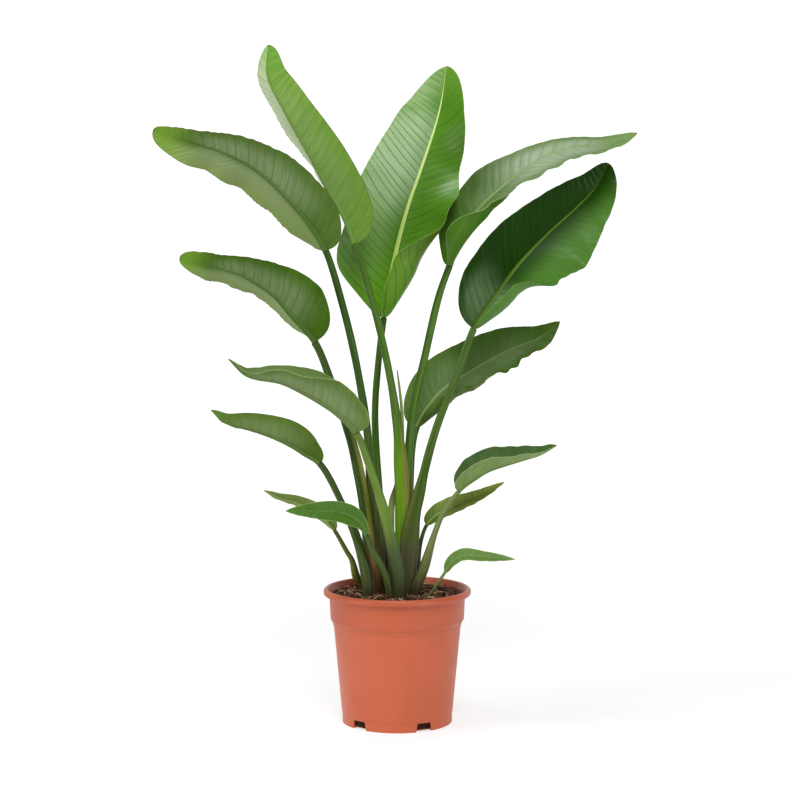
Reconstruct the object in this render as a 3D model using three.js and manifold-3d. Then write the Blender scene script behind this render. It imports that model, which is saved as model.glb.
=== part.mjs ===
// A young bird of paradise plant in a round plastic nursery pot.
// Millimetres, +Z up. The origin is the middle of the pot's underside, and the plant's front faces -Y.
//
// Each leaf is a stalk that rises out of the soil and a blade whose midrib carries the stalk's line on.
// A blade is a grid: stations run along the midrib, and columns run from edge to edge. At each station
// the two halves leave the midrib at a fold angle and bend on by a curl angle, and some margins wave.

import * as THREE from "three";
import Module from "manifold-3d";
import { mergeVertices } from "three/addons/utils/BufferGeometryUtils.js";

const wasm = await Module();
wasm.setup();

// ---------- driving dimensions ----------

const GAP = 0.3; // between pieces that touch
const FRONT = new THREE.Vector3(0, -1, 0);

const POT = {
  height: 181,
  wall: 2.2,
  floor: 3,
  baseRadius: 74,
  footHeight: 12.5,
  footStep: 0.7,
  bodyTopHeight: 131,
  bodyTopRadius: 86.3,
  bandHeight: 3,
  bandStep: 0.8,
  collarHeight: 140,
  collarRadius: 89.8,
  lipBottom: 172.5,
  lipNeckRadius: 91.4,
  lipRadius: 99,
  lipRound: 2.5,
  mouthRadius: 92.8,
  edgeRound: 1.5,
  bandFlare: 0.3,
  collarFlare: [1.4, 3],
  sides: 48,
};
const NOTCH = { count: 5, first: -133, height: 11.5, bottomWidth: 24, topWidth: 19, depth: 9 };

const SOIL = {
  top: 172,
  edgeDrop: 1,
  hump: 1.6,
  secondHump: 1,
  humpLengths: [11, 13, 9],
  sides: 32,
  rings: [80, 64, 42, 20],
};

const STALK_SIDES = 8;
const STEPS = { stalk: 11, smallStalk: 8, shoot: 6, blade: 18, smallBlade: 9, lineMeasure: 40 };
const BLADE = {
  halfThickness: 0.4,
  baseHalfWidth: 3.4,
  tipHalfWidth: 1.2,
  ribWidth: 0.8,
  ribDepth: 0.95,
  ribTaper: 1.2,
  ribTip: 0.18,
  channel: 0.25,
  crowding: 0.07,
  rollFrom: 0.55,
  bendSteps: 24,
  baseRound: 1.35,
  columns: [1, 0.78, 0.56, 0.34],
  smallColumns: [1, 0.62, 0.3],
};
const TINY = 1e-4;

// Stalk points run from the foot in the soil to the blade, rib points from there to the tip.
// across and through are the stalk's half widths, seen from the front and from the side.
// turn is the blade's angle about its midrib: at 0 degrees the upper face looks to the front.
// right and left are the halves on the right and left of the midrib, seen on the upper face, tip up.
// Lists are spread evenly from the blade's base to its tip. turn, fold, curl and roll are in degrees:
// fold is a half's slope at the midrib, curl what it gains over its width, and roll what only its outer
// part gains. width scales a half, wave is its margin's height, number of waves and first one's place,
// and blunt under 1 rounds the tip.
const LEAVES = [
  {
    name: "tall_left",
    stalk: [
      [8, 4, 150], [8, 4, 234], [7, 4, 302], [1, 2, 393],
      [-14, -6, 488], [-42, -20, 599], [-57, -26, 642],
    ],
    across: [8, 9.5, 11, 9.5, 6.5, 5, 4.8, 4.6, 4.4],
    through: [6, 6, 6, 5.6, 5, 4.8, 4.6, 4.4, 4.2],
    rib: [
      [-70, -34, 677], [-91, -42, 714], [-110, -50, 750],
      [-146, -60, 814], [-167, -62, 859], [-165, -60, 898],
    ],
    halfWidth: 48,
    widestAt: 0.27,
    blunt: 0.7,
    turn: [138, 142, 150, 152],
    right: { fold: [52, 46, 38, 22], width: [1, 1, 0.93, 1] },
    left: { fold: [42, 40, 35, 35], width: [0.9, 0.97, 0.95, 1.1], wave: [1, 2.6, 0.1] },
  },
  {
    name: "arching_right",
    stalk: [
      [17, 12, 150], [16, 13, 233], [14, 14, 298], [20, 20, 414],
      [36, 26, 486], [56, 30, 572], [70, 32, 612],
    ],
    across: [7, 7, 5.5, 5.2, 4.8],
    through: [6, 6, 5, 5, 4.6],
    rib: [
      [88, 36, 658], [114, 42, 693], [149, 48, 724], [188, 50, 754],
      [234, 52, 771], [277, 50, 776], [322, 45, 790],
    ],
    halfWidth: 50,
    widestAt: 0.25,
    blunt: 0.75,
    turn: [-50, -52, -60, -60],
    right: {
      fold: [13, 16, 11, 0, 0],
      curl: [77, 30, 6, 6, 0],
      roll: [157, 21, 5, 15, 0],
      width: [1.35, 2.1, 1.85, 0.8, 1.5, 1.15, 1.05, 1.1],
      wave: [0.6, 7, 0.2],
    },
    left: { fold: [30, 10, 5, 5], width: [0.45, 0.88, 1.1, 0.86, 0.72, 0.7] },
  },
  {
    name: "broad_right",
    stalk: [
      [17, -1, 150], [15, -4, 211], [19, -4, 265], [30, 2, 312],
      [51, 12, 391], [83, 24, 473], [103, 30, 528],
    ],
    across: [9, 11, 12.5, 8.6, 6, 5.4, 5.2, 5, 4.8],
    through: [7, 7, 7, 6.5, 5.6, 5.2, 5, 4.8, 4.6],
    rib: [
      [123, 38, 559], [163, 54, 613], [206, 68, 657],
      [245, 76, 692], [269, 79, 717], [288, 82, 751],
    ],
    halfWidth: 66,
    widestAt: 0.38,
    blunt: 0.85,
    turn: [-5],
    right: {
      fold: [10, 10, 12, 15, 18, 20],
      curl: [150, 135, 40, 0, 0, 0],
      width: [1.15, 1.2, 1.06, 1.13, 0.95, 0.8],
      wave: [2, 5, 0],
    },
    left: { fold: [20, 35, 35, 25], width: [1.1, 1, 0.9, 0.72] },
  },
  {
    name: "lower_left",
    stalk: [
      [4, -23, 150], [2, -23, 185], [-1, -26, 210], [-10, -31, 260],
      [-22, -42, 308], [-38, -58, 358], [-53, -74, 398],
    ],
    across: [10.5, 10, 7.5, 5.5, 5],
    through: [8.5, 8, 6, 5.2, 4.8],
    rib: [
      [-80, -86, 426], [-100, -96, 440], [-123, -108, 454],
      [-147, -120, 466], [-190, -142, 477], [-212, -152, 499],
    ],
    halfWidth: 50,
    widestAt: 0.24,
    turn: [100],
    right: { fold: [45, 50, 45, 30], width: [1, 1, 0.85, 0.85] },
    left: { fold: [45, 40, 30, 20], width: [0.8, 1, 0.75, 0.8], wave: [2, 3, 0.2] },
  },
  {
    name: "broad_left",
    stalk: [
      [-29, 4, 150], [-31, 0, 259], [-35, -4, 327], [-40, -10, 394],
      [-55, -26, 490], [-72, -38, 564], [-93, -52, 634],
    ],
    across: [9, 8, 5.5, 5, 4.6],
    through: [7, 6, 5, 5, 4.6],
    rib: [
      [-110, -60, 664], [-131, -70, 690], [-176, -92, 734],
      [-224, -116, 760], [-260, -132, 771], [-304, -148, 786],
    ],
    halfWidth: 53,
    widestAt: 0.3,
    blunt: 0.6,
    turn: [133, 135, 142, 148],
    right: { fold: [8, 4, -8, -15], width: [1, 0.93, 0.8, 0.9], wave: [2.5, 4.5, 0.1] },
    left: { fold: [8, 4, -8, -15], width: [1.05, 1.12, 1.1, 0.95, 0.68, 0.62] },
  },
  {
    name: "broad_centre",
    stalk: [
      [-19, 15, 150], [-22, 17, 243], [-26, 21, 325],
      [-30, 27, 415], [-25, 31, 487], [-18, 34, 543],
    ],
    across: [9.5, 8, 5, 4.6, 4.4],
    through: [7, 6, 5, 5, 4.6],
    rib: [[-3, 40, 626], [14, 48, 691], [32, 60, 742], [57, 83, 819], [68, 111, 884]],
    halfWidth: 80,
    widestAt: 0.36,
    turn: [-15, -12, -24, -26, -30],
    right: {
      fold: [-5, -18, -18, -8, 20, 15],
      curl: [188, 193, 94, 0, 0, 0],
      width: [1.16, 1.36, 1.15, 0.73, 0.92, 1],
      wave: [1, 2.2, 0.4],
    },
    left: {
      fold: [15, 22, 20, 10],
      curl: [10, 10, 5, 0],
      width: [0.65, 1.1, 0.96, 0.94, 0.94, 1.02, 1.15],
    },
  },
  {
    name: "middle_left",
    stalk: [
      [-35, -13, 150], [-38, -13, 241], [-46, -12, 309], [-58, -12, 370],
      [-69, -15, 406], [-89, -26, 466], [-108, -44, 514],
    ],
    across: [8, 8, 7.5, 5.2, 5],
    through: [6, 6, 6, 5, 4.6],
    rib: [
      [-139, -60, 551], [-158, -70, 574], [-182, -82, 592],
      [-203, -92, 604], [-239, -104, 615], [-276, -114, 627],
    ],
    halfWidth: 48,
    widestAt: 0.28,
    blunt: 0.62,
    turn: [145, 148, 152, 152],
    right: { fold: [40, 36, 24, 5], width: [1, 0.95, 0.8, 0.85], wave: [1.5, 4.3, 0.3] },
    left: { fold: [35, 25, 0, -10], width: [1, 1.12, 0.86, 0.62, 0.8] },
  },
  {
    name: "middle_right",
    stalk: [[15, 26, 150], [17, 32, 296], [21, 43, 365], [27, 53, 392]],
    across: [6, 5, 4],
    through: [5, 4.6, 4],
    rib: [
      [45, 67, 423], [65, 77, 444], [104, 90, 468],
      [150, 98, 493], [198, 103, 513], [225, 105, 534],
    ],
    halfWidth: 45,
    widestAt: 0.3,
    turn: [-40],
    right: {
      fold: [10, 15, 12, 8],
      curl: [60, 10, 0, 0],
      roll: [90, 80, 20, 0],
      width: [1.6, 1.25, 1.05, 1],
      wave: [3, 4, 0.2],
    },
    left: { fold: [15, 12, 10, 8], width: [0.9, 1.08, 1.12, 1] },
  },
  {
    name: "low_left",
    stalk: [[-38, -25, 150], [-41, -25, 198], [-52, -27, 247], [-74, -33, 302], [-102, -43, 354]],
    across: [7, 7.5, 6, 4.6, 4.4],
    through: [5, 5, 5, 4.4, 4],
    rib: [
      [-122, -50, 368], [-140, -58, 380], [-161, -68, 391],
      [-183, -78, 400], [-223, -96, 414], [-239, -102, 430],
    ],
    halfWidth: 36,
    widestAt: 0.36,
    turn: [130],
    right: { fold: [30] },
    left: { fold: [30], width: [0.85, 0.95, 0.85, 0.85] },
    small: true,
  },
  {
    name: "lower_right",
    stalk: [
      [20, -9, 150], [26, -10, 184], [35, -11, 208],
      [50, -13, 257], [60, -14, 282], [82, -18, 314],
    ],
    across: [7.5, 7, 4, 3.2],
    through: [5.5, 5, 3.6, 3],
    rib: [
      [104, -21, 331], [122, -24, 342], [145, -27, 350],
      [167, -30, 357], [189, -32, 364], [211, -34, 377],
    ],
    halfWidth: 38,
    widestAt: 0.3,
    turn: [-75],
    right: { fold: [50, 48, 38, 28] },
    left: { fold: [35, 30, 20, 20] },
    small: true,
  },
  {
    name: "low_right",
    stalk: [[28, 26, 150], [29, 25, 215], [32, 24, 240], [40, 22, 263]],
    across: [3, 3, 2.6],
    through: [3, 3, 2.6],
    rib: [[54, 26, 276], [72, 32, 285], [93, 40, 293], [116, 48, 302], [146, 56, 317]],
    halfWidth: 17,
    widestAt: 0.3,
    turn: [-50],
    right: { fold: [15] },
    left: { fold: [15], width: [1, 0.95, 0.75, 0.7] },
    small: true,
  },
  {
    name: "small_left_back",
    stalk: [
      [-46, 42, 150], [-49, 42, 180], [-55, 40, 187],
      [-62, 37, 213], [-69, 35, 225], [-85, 30, 254],
    ],
    across: [6, 5.6, 3.4, 2.8],
    through: [5, 4.6, 3.2, 2.6],
    rib: [[-97, 26, 269], [-115, 22, 283], [-136, 16, 295], [-158, 10, 302], [-179, 4, 312]],
    halfWidth: 15,
    widestAt: 0.34,
    turn: [146],
    right: { fold: [24] },
    left: { fold: [24], width: [1, 0.9, 0.7, 0.7] },
    small: true,
  },
  {
    name: "small_left_front",
    stalk: [
      [-10, -33, 150], [-11, -33, 174], [-14, -34, 197],
      [-19, -37, 213], [-32, -43, 238], [-40, -50, 260],
    ],
    across: [4.2, 4.2, 4.4, 3.4],
    through: [3.6, 3.6, 3.6, 3],
    rib: [[-46, -54, 274], [-59, -60, 286], [-77, -68, 293], [-100, -78, 296], [-144, -92, 298]],
    halfWidth: 16,
    widestAt: 0.3,
    turn: [20],
    right: { fold: [15], width: [0.4, 0.9, 1, 1] },
    left: { fold: [15], width: [0.4, 0.9, 1, 1] },
    small: true,
  },
  {
    name: "seedling_right",
    stalk: [[36, -22, 152], [39, -23, 169], [46, -24, 179], [64, -32, 208]],
    across: [2.4, 2.3, 2.1],
    through: [2.4, 2.3, 2.1],
    rib: [[73, -36, 222], [88, -40, 231], [112, -46, 230], [155, -52, 228]],
    halfWidth: 11,
    widestAt: 0.32,
    turn: [-50],
    right: { fold: [15] },
    left: { fold: [15] },
    small: true,
  },
];

// Leafless shoots: a rolled new leaf between the two inner stalks, and a short old sheath behind them.
const SHOOTS = [
  {
    name: "rolled_leaf",
    path: [[7, 6, 380], [7, 6, 398], [6, 5, 421], [4, 4, 442], [0, 4, 474]],
    across: [2.6, 2.4, 2, 1.6, 0.8],
    through: [2.4, 2.2, 1.8, 1.4, 0.8],
  },
  {
    name: "short_sheath",
    path: [[-8, 9, 150], [-8, 9, 220], [-8, 9, 285], [-6, 9, 303], [-3, 8, 321]],
    across: [4.5, 4.7, 4.7, 4.7, 4.7, 4.6, 4.2, 0.8],
    through: [4, 3.6, 3, 3, 2.6, 2.4, 2, 0.8],
  },
];

// ---------- materials ----------

function finish(color, roughness) {
  return new THREE.MeshStandardMaterial({ color, roughness, metalness: 0 });
}

const bladeGreen = finish(0x4f7d33, 0.42);
const stalkGreen = finish(0x6b8f3c, 0.5);
const sheathOlive = finish(0x6e7440, 0.6);
const terracotta = finish(0xce6b4e, 0.45);
const pottingSoil = finish(0x3a2a20, 0.95);

// ---------- curves ----------

function smoothCurve(points) {
  const list = points.map((p) => new THREE.Vector3(...p));
  return new THREE.CatmullRomCurve3(list, false, "centripetal");
}

// A leaf's line from foot to tip, and the share of its length at which the stalk ends.
function wholeLeaf(leaf) {
  const curve = smoothCurve([...leaf.stalk, ...leaf.rib]);
  curve.arcLengthDivisions = STEPS.lineMeasure * (curve.points.length - 1);
  const lengths = curve.getLengths();
  const joint = STEPS.lineMeasure * (leaf.stalk.length - 1);
  return { curve, end: lengths[joint] / lengths[lengths.length - 1] };
}

// The value at t, from 0 to 1, of a list spread evenly along a length and blended smoothly.
function along(values, t) {
  const place = Math.min(Math.max(t, 0), 1) * (values.length - 1);
  const i = Math.min(Math.floor(place), values.length - 2);
  if (values.length === 1) return values[0];
  return THREE.MathUtils.lerp(values[i], values[i + 1], THREE.MathUtils.smoothstep(place - i, 0, 1));
}

// Right-hand and front-facing directions square to a curve's tangent.
function frameAt(tangent) {
  const front = FRONT.clone().addScaledVector(tangent, -FRONT.dot(tangent)).normalize();
  return { front, side: new THREE.Vector3().crossVectors(tangent, front) };
}

// ---------- solids ----------

// A closed surface from rings of points, each joined to the next, with the two end rings filled. From
// the ring's place given as turned on, the quads are split along their other diagonal.
function closedLoft(rings, capStart, capEnd, turned = Infinity) {
  const n = rings[0].length;
  const positions = rings.flat().flatMap((p) => [p.x, p.y, p.z]);
  const index = [];
  for (let i = 0; i < rings.length - 1; i++) {
    for (let j = 0; j < n; j++) {
      const a = i * n + j;
      const b = i * n + ((j + 1) % n);
      if (j < turned) index.push(a, b, b + n, a, b + n, a + n);
      else index.push(a, b, a + n, b, b + n, a + n);
    }
  }
  capStart(index, 0);
  capEnd(index, (rings.length - 1) * n);
  const geometry = new THREE.BufferGeometry();
  geometry.setAttribute("position", new THREE.Float32BufferAttribute(positions, 3));
  geometry.setIndex(index);
  return geometry;
}

function fanCap(sides, reversed) {
  return (index, first) => {
    for (let j = 1; j < sides - 1; j++) {
      if (reversed) index.push(first, first + j + 1, first + j);
      else index.push(first, first + j, first + j + 1);
    }
  };
}

function toManifold(geometry) {
  const bare = new THREE.BufferGeometry();
  bare.setAttribute("position", geometry.getAttribute("position").clone());
  if (geometry.index) bare.setIndex(geometry.index.clone());
  const merged = mergeVertices(bare, 1e-3);
  return new wasm.Manifold(
    new wasm.Mesh({
      numProp: 3,
      vertProperties: new Float32Array(merged.getAttribute("position").array),
      triVerts: new Uint32Array(merged.index.array),
    }),
  );
}

function toGeometry(manifold) {
  const { vertProperties, triVerts } = manifold.getMesh();
  const geometry = new THREE.BufferGeometry();
  geometry.setAttribute("position", new THREE.BufferAttribute(vertProperties, 3));
  geometry.setIndex(new THREE.BufferAttribute(triVerts, 1));
  return geometry;
}

function largestBody(manifold) {
  const bodies = manifold.decompose();
  return bodies.reduce((best, body) => (body.volume() > best.volume() ? body : best));
}

// ---------- stalks ----------

// A round-sided rod along a curve, up to the share of its length given as end. grow makes it fatter
// all round, for the clearance of its neighbours.
function rod({ curve, end, across, through }, grow, steps) {
  const rings = [];
  for (let i = 0; i <= steps; i++) {
    const t = i / steps;
    const centre = curve.getPointAt(t * end);
    const { front, side } = frameAt(curve.getTangentAt(t * end));
    const halfAcross = along(across, t) + grow;
    const halfThrough = along(through, t) + grow;
    const ring = [];
    for (let j = 0; j < STALK_SIDES; j++) {
      const angle = (-2 * Math.PI * (j + 0.5)) / STALK_SIDES;
      ring.push(
        centre
          .clone()
          .addScaledVector(side, halfAcross * Math.cos(angle))
          .addScaledVector(front, halfThrough * Math.sin(angle)),
      );
    }
    rings.push(ring);
  }
  return closedLoft(rings, fanCap(STALK_SIDES, true), fanCap(STALK_SIDES, false));
}

// ---------- blades ----------

// The half width's share at t: 0 at both ends and 1 at the widest point.
function outline(t, widestAt, blunt = 1) {
  const pointed = Math.pow(t / widestAt, widestAt) * Math.pow((1 - t) / (1 - widestAt), 1 - widestAt);
  return Math.pow(pointed, t > widestAt ? blunt : BLADE.baseRound);
}

// How high a half blade's margin waves at t, with the waves fading out at both ends of the blade.
function waveHeight([height, count, first], t) {
  return height * Math.sin(2 * Math.PI * (count * t + first)) * Math.pow(4 * t * (1 - t), 0.25);
}

// The slope of a half blade at share s of its width, in radians.
function slopeAt(half, t, s) {
  const rolled = THREE.MathUtils.smoothstep(s, BLADE.rollFrom, 1) * along(half.roll ?? [0], t);
  return THREE.MathUtils.degToRad(along(half.fold, t) + s * along(half.curl ?? [0], t) + rolled);
}

// How far a half blade reaches out and up from the midrib at share s of its width.
function bentReach(half, t, s) {
  const step = s / BLADE.bendSteps;
  let reach = 0;
  let rise = 0;
  for (let i = 0; i < BLADE.bendSteps; i++) {
    const slope = slopeAt(half, t, (i + 0.5) * step);
    reach += step * Math.cos(slope);
    rise += step * Math.sin(slope);
  }
  return [reach, rise];
}

function blade(leaf) {
  const { curve, end } = wholeLeaf(leaf);
  const start = end + GAP / curve.getLength();
  const stations = leaf.small ? STEPS.smallBlade : STEPS.blade;
  const shares = leaf.small ? BLADE.smallColumns : BLADE.columns;
  const stalkRadius = leaf.across[leaf.across.length - 1];
  const rings = [];
  for (let i = 0; i <= stations; i++) {
    const even = i / stations;
    const t = even - BLADE.crowding * Math.sin(2 * Math.PI * even);
    const inside = THREE.MathUtils.clamp(t, TINY, 1 - TINY);
    const at = start + (1 - start) * t;
    const centre = curve.getPointAt(at);
    const { front, side } = frameAt(curve.getTangentAt(at));
    const turn = THREE.MathUtils.degToRad(along(leaf.turn, t));
    const up = front.clone().multiplyScalar(Math.cos(turn)).addScaledVector(side, Math.sin(turn));
    const out = side.clone().multiplyScalar(Math.cos(turn)).addScaledVector(front, -Math.sin(turn));
    const ends = THREE.MathUtils.lerp(BLADE.baseHalfWidth, BLADE.tipHalfWidth, t);
    const spread = leaf.halfWidth * outline(inside, leaf.widestAt, leaf.blunt);
    const ribHalf = stalkRadius * (BLADE.ribWidth * (1 - t) + BLADE.ribTip);
    const ribDepth = stalkRadius * (BLADE.ribDepth * Math.pow(1 - t, BLADE.ribTaper) + BLADE.ribTip);
    const above = [];
    const below = [];
    const column = (sign, half, s) => {
      const halfWidth = Math.max(spread * along(half.width ?? [1], t), ends);
      const share = s ?? Math.min(ribHalf / halfWidth, 0.5);
      const [reach, rise] = bentReach(half, t, share);
      const slope = slopeAt(half, t, share);
      const lift = half.wave ? waveHeight(half.wave, inside) * Math.pow(share, 1.5) : 0;
      const normal = up
        .clone()
        .multiplyScalar(Math.cos(slope))
        .addScaledVector(out, -sign * Math.sin(slope));
      const point = centre
        .clone()
        .addScaledVector(out, sign * halfWidth * reach)
        .addScaledVector(up, halfWidth * rise)
        .addScaledVector(normal, lift);
      above.push(point.clone().addScaledVector(normal, BLADE.halfThickness));
      below.push(point.clone().addScaledVector(normal, -BLADE.halfThickness));
    };
    for (const s of shares) column(-1, leaf.left, s);
    column(-1, leaf.left);
    above.push(centre.clone().addScaledVector(up, BLADE.channel));
    below.push(centre.clone().addScaledVector(up, -ribDepth));
    column(1, leaf.right);
    for (const s of [...shares].reverse()) column(1, leaf.right, s);
    rings.push([...above, ...below.reverse()]);
  }
  const columns = rings[0].length / 2;
  return closedLoft(rings, stripCap(columns, true), stripCap(columns, false), columns);
}

// Fills a ring that runs out along one face of a strip and back along the other.
function stripCap(columns, reversed) {
  return (index, first) => {
    for (let j = 0; j < columns - 1; j++) {
      const a = first + j;
      const b = first + j + 1;
      const c = first + 2 * columns - 2 - j;
      const d = first + 2 * columns - 1 - j;
      if (reversed) index.push(a, c, b, a, d, c);
      else index.push(a, b, c, a, c, d);
    }
  };
}

// ---------- pot and soil ----------

// The outside from the middle of the underside to the lip, then the inside down to the floor's middle.
function potProfile() {
  const p = POT;
  const bandTop = p.bodyTopHeight + p.bandHeight;
  const outside = [
    [0, 0],
    [p.baseRadius, 0],
    [p.baseRadius, p.footHeight],
    [p.baseRadius + p.footStep, p.footHeight + p.footStep],
    [p.bodyTopRadius - p.bandStep, p.bodyTopHeight],
    [p.bodyTopRadius, p.bodyTopHeight + p.bandStep],
    [p.bodyTopRadius + p.bandFlare, bandTop],
    [p.bodyTopRadius + p.collarFlare[0], bandTop + p.collarFlare[1]],
    [p.collarRadius, p.collarHeight],
    [p.lipNeckRadius, p.lipBottom],
    [p.lipRadius - p.edgeRound, p.lipBottom],
    [p.lipRadius, p.lipBottom + p.edgeRound],
    [p.lipRadius, p.height - p.lipRound],
    [p.lipRadius - p.lipRound, p.height],
    [p.mouthRadius + p.edgeRound, p.height],
    [p.mouthRadius, p.height - p.edgeRound],
  ];
  return [...outside, ...innerWall(0).reverse(), [0, p.floor]];
}

// The pot's inside, from the floor's edge up to the lip, drawn in by a clearance.
function innerWall(clearance) {
  const p = POT;
  const inset = p.wall + clearance;
  return [
    [p.baseRadius - inset, p.floor + clearance],
    [p.bodyTopRadius - p.bandStep - inset, p.bodyTopHeight],
    [p.collarRadius - inset, p.collarHeight],
    [p.lipNeckRadius - inset, p.lipBottom],
  ];
}

function pot() {
  const points = potProfile().map(([r, z]) => new THREE.Vector2(r, z));
  const wall = new THREE.LatheGeometry(points, POT.sides);
  wall.rotateX(Math.PI / 2);
  let body = toManifold(wall);
  for (let i = 0; i < NOTCH.count; i++) {
    body = body.subtract(toManifold(notch(NOTCH.first + (360 / NOTCH.count) * i)));
  }
  return toGeometry(body);
}

// A drainage notch through the foot, wider at the bottom.
function notch(degrees) {
  const below = 1;
  const shape = new THREE.Shape([
    new THREE.Vector2(-NOTCH.bottomWidth / 2, -below),
    new THREE.Vector2(NOTCH.bottomWidth / 2, -below),
    new THREE.Vector2(NOTCH.topWidth / 2, NOTCH.height),
    new THREE.Vector2(-NOTCH.topWidth / 2, NOTCH.height),
  ]);
  const cutter = new THREE.ExtrudeGeometry(shape, { depth: 2 * NOTCH.depth, bevelEnabled: false });
  cutter.rotateX(Math.PI / 2);
  cutter.translate(0, -POT.baseRadius + NOTCH.depth, 0);
  cutter.rotateZ(THREE.MathUtils.degToRad(degrees + 90));
  return cutter;
}

// The soil's surface: low humps that fade out at the pot's wall.
function soilHeight(x, y) {
  const [alongX, alongY, slanting] = SOIL.humpLengths;
  const hump = SOIL.hump * Math.sin(x / alongX) * Math.cos(y / alongY);
  return SOIL.top + hump + SOIL.secondHump * Math.sin((x + 2 * y) / slanting);
}

function soil() {
  const wall = innerWall(GAP);
  const [lower, upper] = [wall[2], wall[3]];
  const share = (SOIL.top - lower[1]) / (upper[1] - lower[1]);
  const edge = [THREE.MathUtils.lerp(lower[0], upper[0], share), SOIL.top - SOIL.edgeDrop];
  const ringAt = (radius, height) => {
    const ring = [];
    for (let j = 0; j < SOIL.sides; j++) {
      const angle = (2 * Math.PI * j) / SOIL.sides;
      const x = radius * Math.cos(angle);
      const y = radius * Math.sin(angle);
      ring.push(new THREE.Vector3(x, y, height ?? soilHeight(x, y)));
    }
    return ring;
  };
  const rings = [
    ...[...wall.slice(0, 3), edge].map(([r, z]) => ringAt(r, z)),
    ...SOIL.rings.map((r) => ringAt(r)),
  ];
  return closedLoft(rings, fanCap(SOIL.sides, true), fanCap(SOIL.sides, false));
}

// ---------- assembly ----------

const plant = new THREE.Group();

function add(name, geometry, material) {
  geometry.computeVertexNormals();
  const mesh = new THREE.Mesh(geometry, material);
  mesh.name = name;
  plant.add(mesh);
}

// Inner stalks first: each one clasps those before it, so it is cut back by their clearance.
const standing = [];

function stand(name, spec, material, steps) {
  let body = toManifold(rod(spec, 0, steps));
  for (const other of standing) body = body.subtract(other);
  standing.push(toManifold(rod(spec, GAP, steps)));
  add(name, toGeometry(largestBody(body)), material);
}

for (const leaf of LEAVES) {
  const steps = leaf.small ? STEPS.smallStalk : STEPS.stalk;
  stand(`${leaf.name}_stalk`, { ...leaf, ...wholeLeaf(leaf) }, stalkGreen, steps);
  add(`${leaf.name}_blade`, blade(leaf), bladeGreen);
}
for (const shoot of SHOOTS) {
  const line = { curve: smoothCurve(shoot.path), end: 1 };
  stand(shoot.name, { ...shoot, ...line }, sheathOlive, STEPS.shoot);
}

add("pot", pot(), terracotta);

let bed = toManifold(soil());
for (const stalk of standing) bed = bed.subtract(stalk);
add("soil", toGeometry(largestBody(bed)), pottingSoil);

export default plant;
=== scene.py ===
import math

import bmesh
import bpy
import numpy as np
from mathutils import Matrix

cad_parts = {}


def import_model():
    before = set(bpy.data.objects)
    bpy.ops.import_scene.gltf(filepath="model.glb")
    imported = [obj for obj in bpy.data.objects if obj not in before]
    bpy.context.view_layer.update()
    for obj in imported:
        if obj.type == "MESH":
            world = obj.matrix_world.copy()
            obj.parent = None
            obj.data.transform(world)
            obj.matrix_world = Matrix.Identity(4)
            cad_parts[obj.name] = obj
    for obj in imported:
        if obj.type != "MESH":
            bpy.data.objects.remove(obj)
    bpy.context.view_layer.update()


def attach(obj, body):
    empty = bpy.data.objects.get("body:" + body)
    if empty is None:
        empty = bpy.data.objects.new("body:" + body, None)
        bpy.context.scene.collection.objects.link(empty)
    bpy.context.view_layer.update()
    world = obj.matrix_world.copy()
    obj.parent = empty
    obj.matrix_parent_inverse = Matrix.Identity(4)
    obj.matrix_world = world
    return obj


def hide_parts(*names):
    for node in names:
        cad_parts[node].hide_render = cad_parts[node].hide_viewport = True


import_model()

MM = 0.001
PER_CM = 10  # the attributes that drive the materials hold centimetres
FRONT = np.array([0.0, -1.0, 0.0])
SEEDS = {"blade": 100, "stalk": 300, "soil": 7, "litter": 11}

# ---------- camera ----------

CAMERA_PLACE = (0.0037, -2.7, 0.665)
CAMERA_DOWN = 4.88  # degrees below the horizon
CAMERA_LENS = 91.35
CAMERA_SENSOR = 36
CAMERA_REACH = 50


def camera():
    data = bpy.data.cameras.new("camera")
    data.lens = CAMERA_LENS
    data.sensor_width = CAMERA_SENSOR
    data.clip_end = CAMERA_REACH
    holder = bpy.data.objects.new("camera", data)
    holder.location = CAMERA_PLACE
    holder.rotation_euler = (math.radians(90 - CAMERA_DOWN), 0, 0)
    bpy.context.scene.collection.objects.link(holder)
    bpy.context.scene.camera = holder


# ---------- light and floor ----------

WHITE = (1, 1, 1, 1)
WORLD_STRENGTH = 0.12
# name, place, aim, width, height, power in watts
LIGHTS = [
    ("key", (-2.3, -1.3, 0.9), (0, 0, 0.5), 1.2, 1.4, 33),
    ("front", (0.32, -2.0, 2.55), (0, 0, 0.8), 0.9, 1.7, 60),
    ("top", (-0.7, -0.1, 2.7), (0.15, 0, 0.7), 1.2, 1.2, 34),
    ("glint", (1.6, -1.5, 0.15), (0.12, 0, 0.58), 0.4, 0.4, 11),
]
# The floor curves up into a wall at the back, where it glows more. In front of the plant, below what
# the camera sees, it glows less.
FLOOR = {
    "front": -4.0, "back": 2.6, "half": 6.0, "curve": 1.6, "wall": 4.5, "steps": 24, "glow": 0.7,
    "wall_glow": 0.97, "wall_glow_from": (0.5, 2.5), "shade": 0.55, "shade_from": (-0.45, -0.9),
}


def light(name, place, aim, width, height, power):
    data = bpy.data.lights.new(name, "AREA")
    data.shape = "RECTANGLE"
    data.size = width
    data.size_y = height
    data.energy = power
    holder = bpy.data.objects.new(name, data)
    towards = np.array(aim, float) - np.array(place, float)
    level = math.hypot(towards[0], towards[1])
    holder.location = place
    holder.rotation_euler = (math.atan2(level, -towards[2]), 0, math.atan2(-towards[0], towards[1]))
    bpy.context.scene.collection.objects.link(holder)


def world():
    made = bpy.data.worlds.new("studio")
    made.use_nodes = True
    background = made.node_tree.nodes["Background"]
    background.inputs["Color"].default_value = WHITE
    background.inputs["Strength"].default_value = WORLD_STRENGTH
    bpy.context.scene.world = made
    bpy.context.scene.view_settings.view_transform = "Standard"


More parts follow.
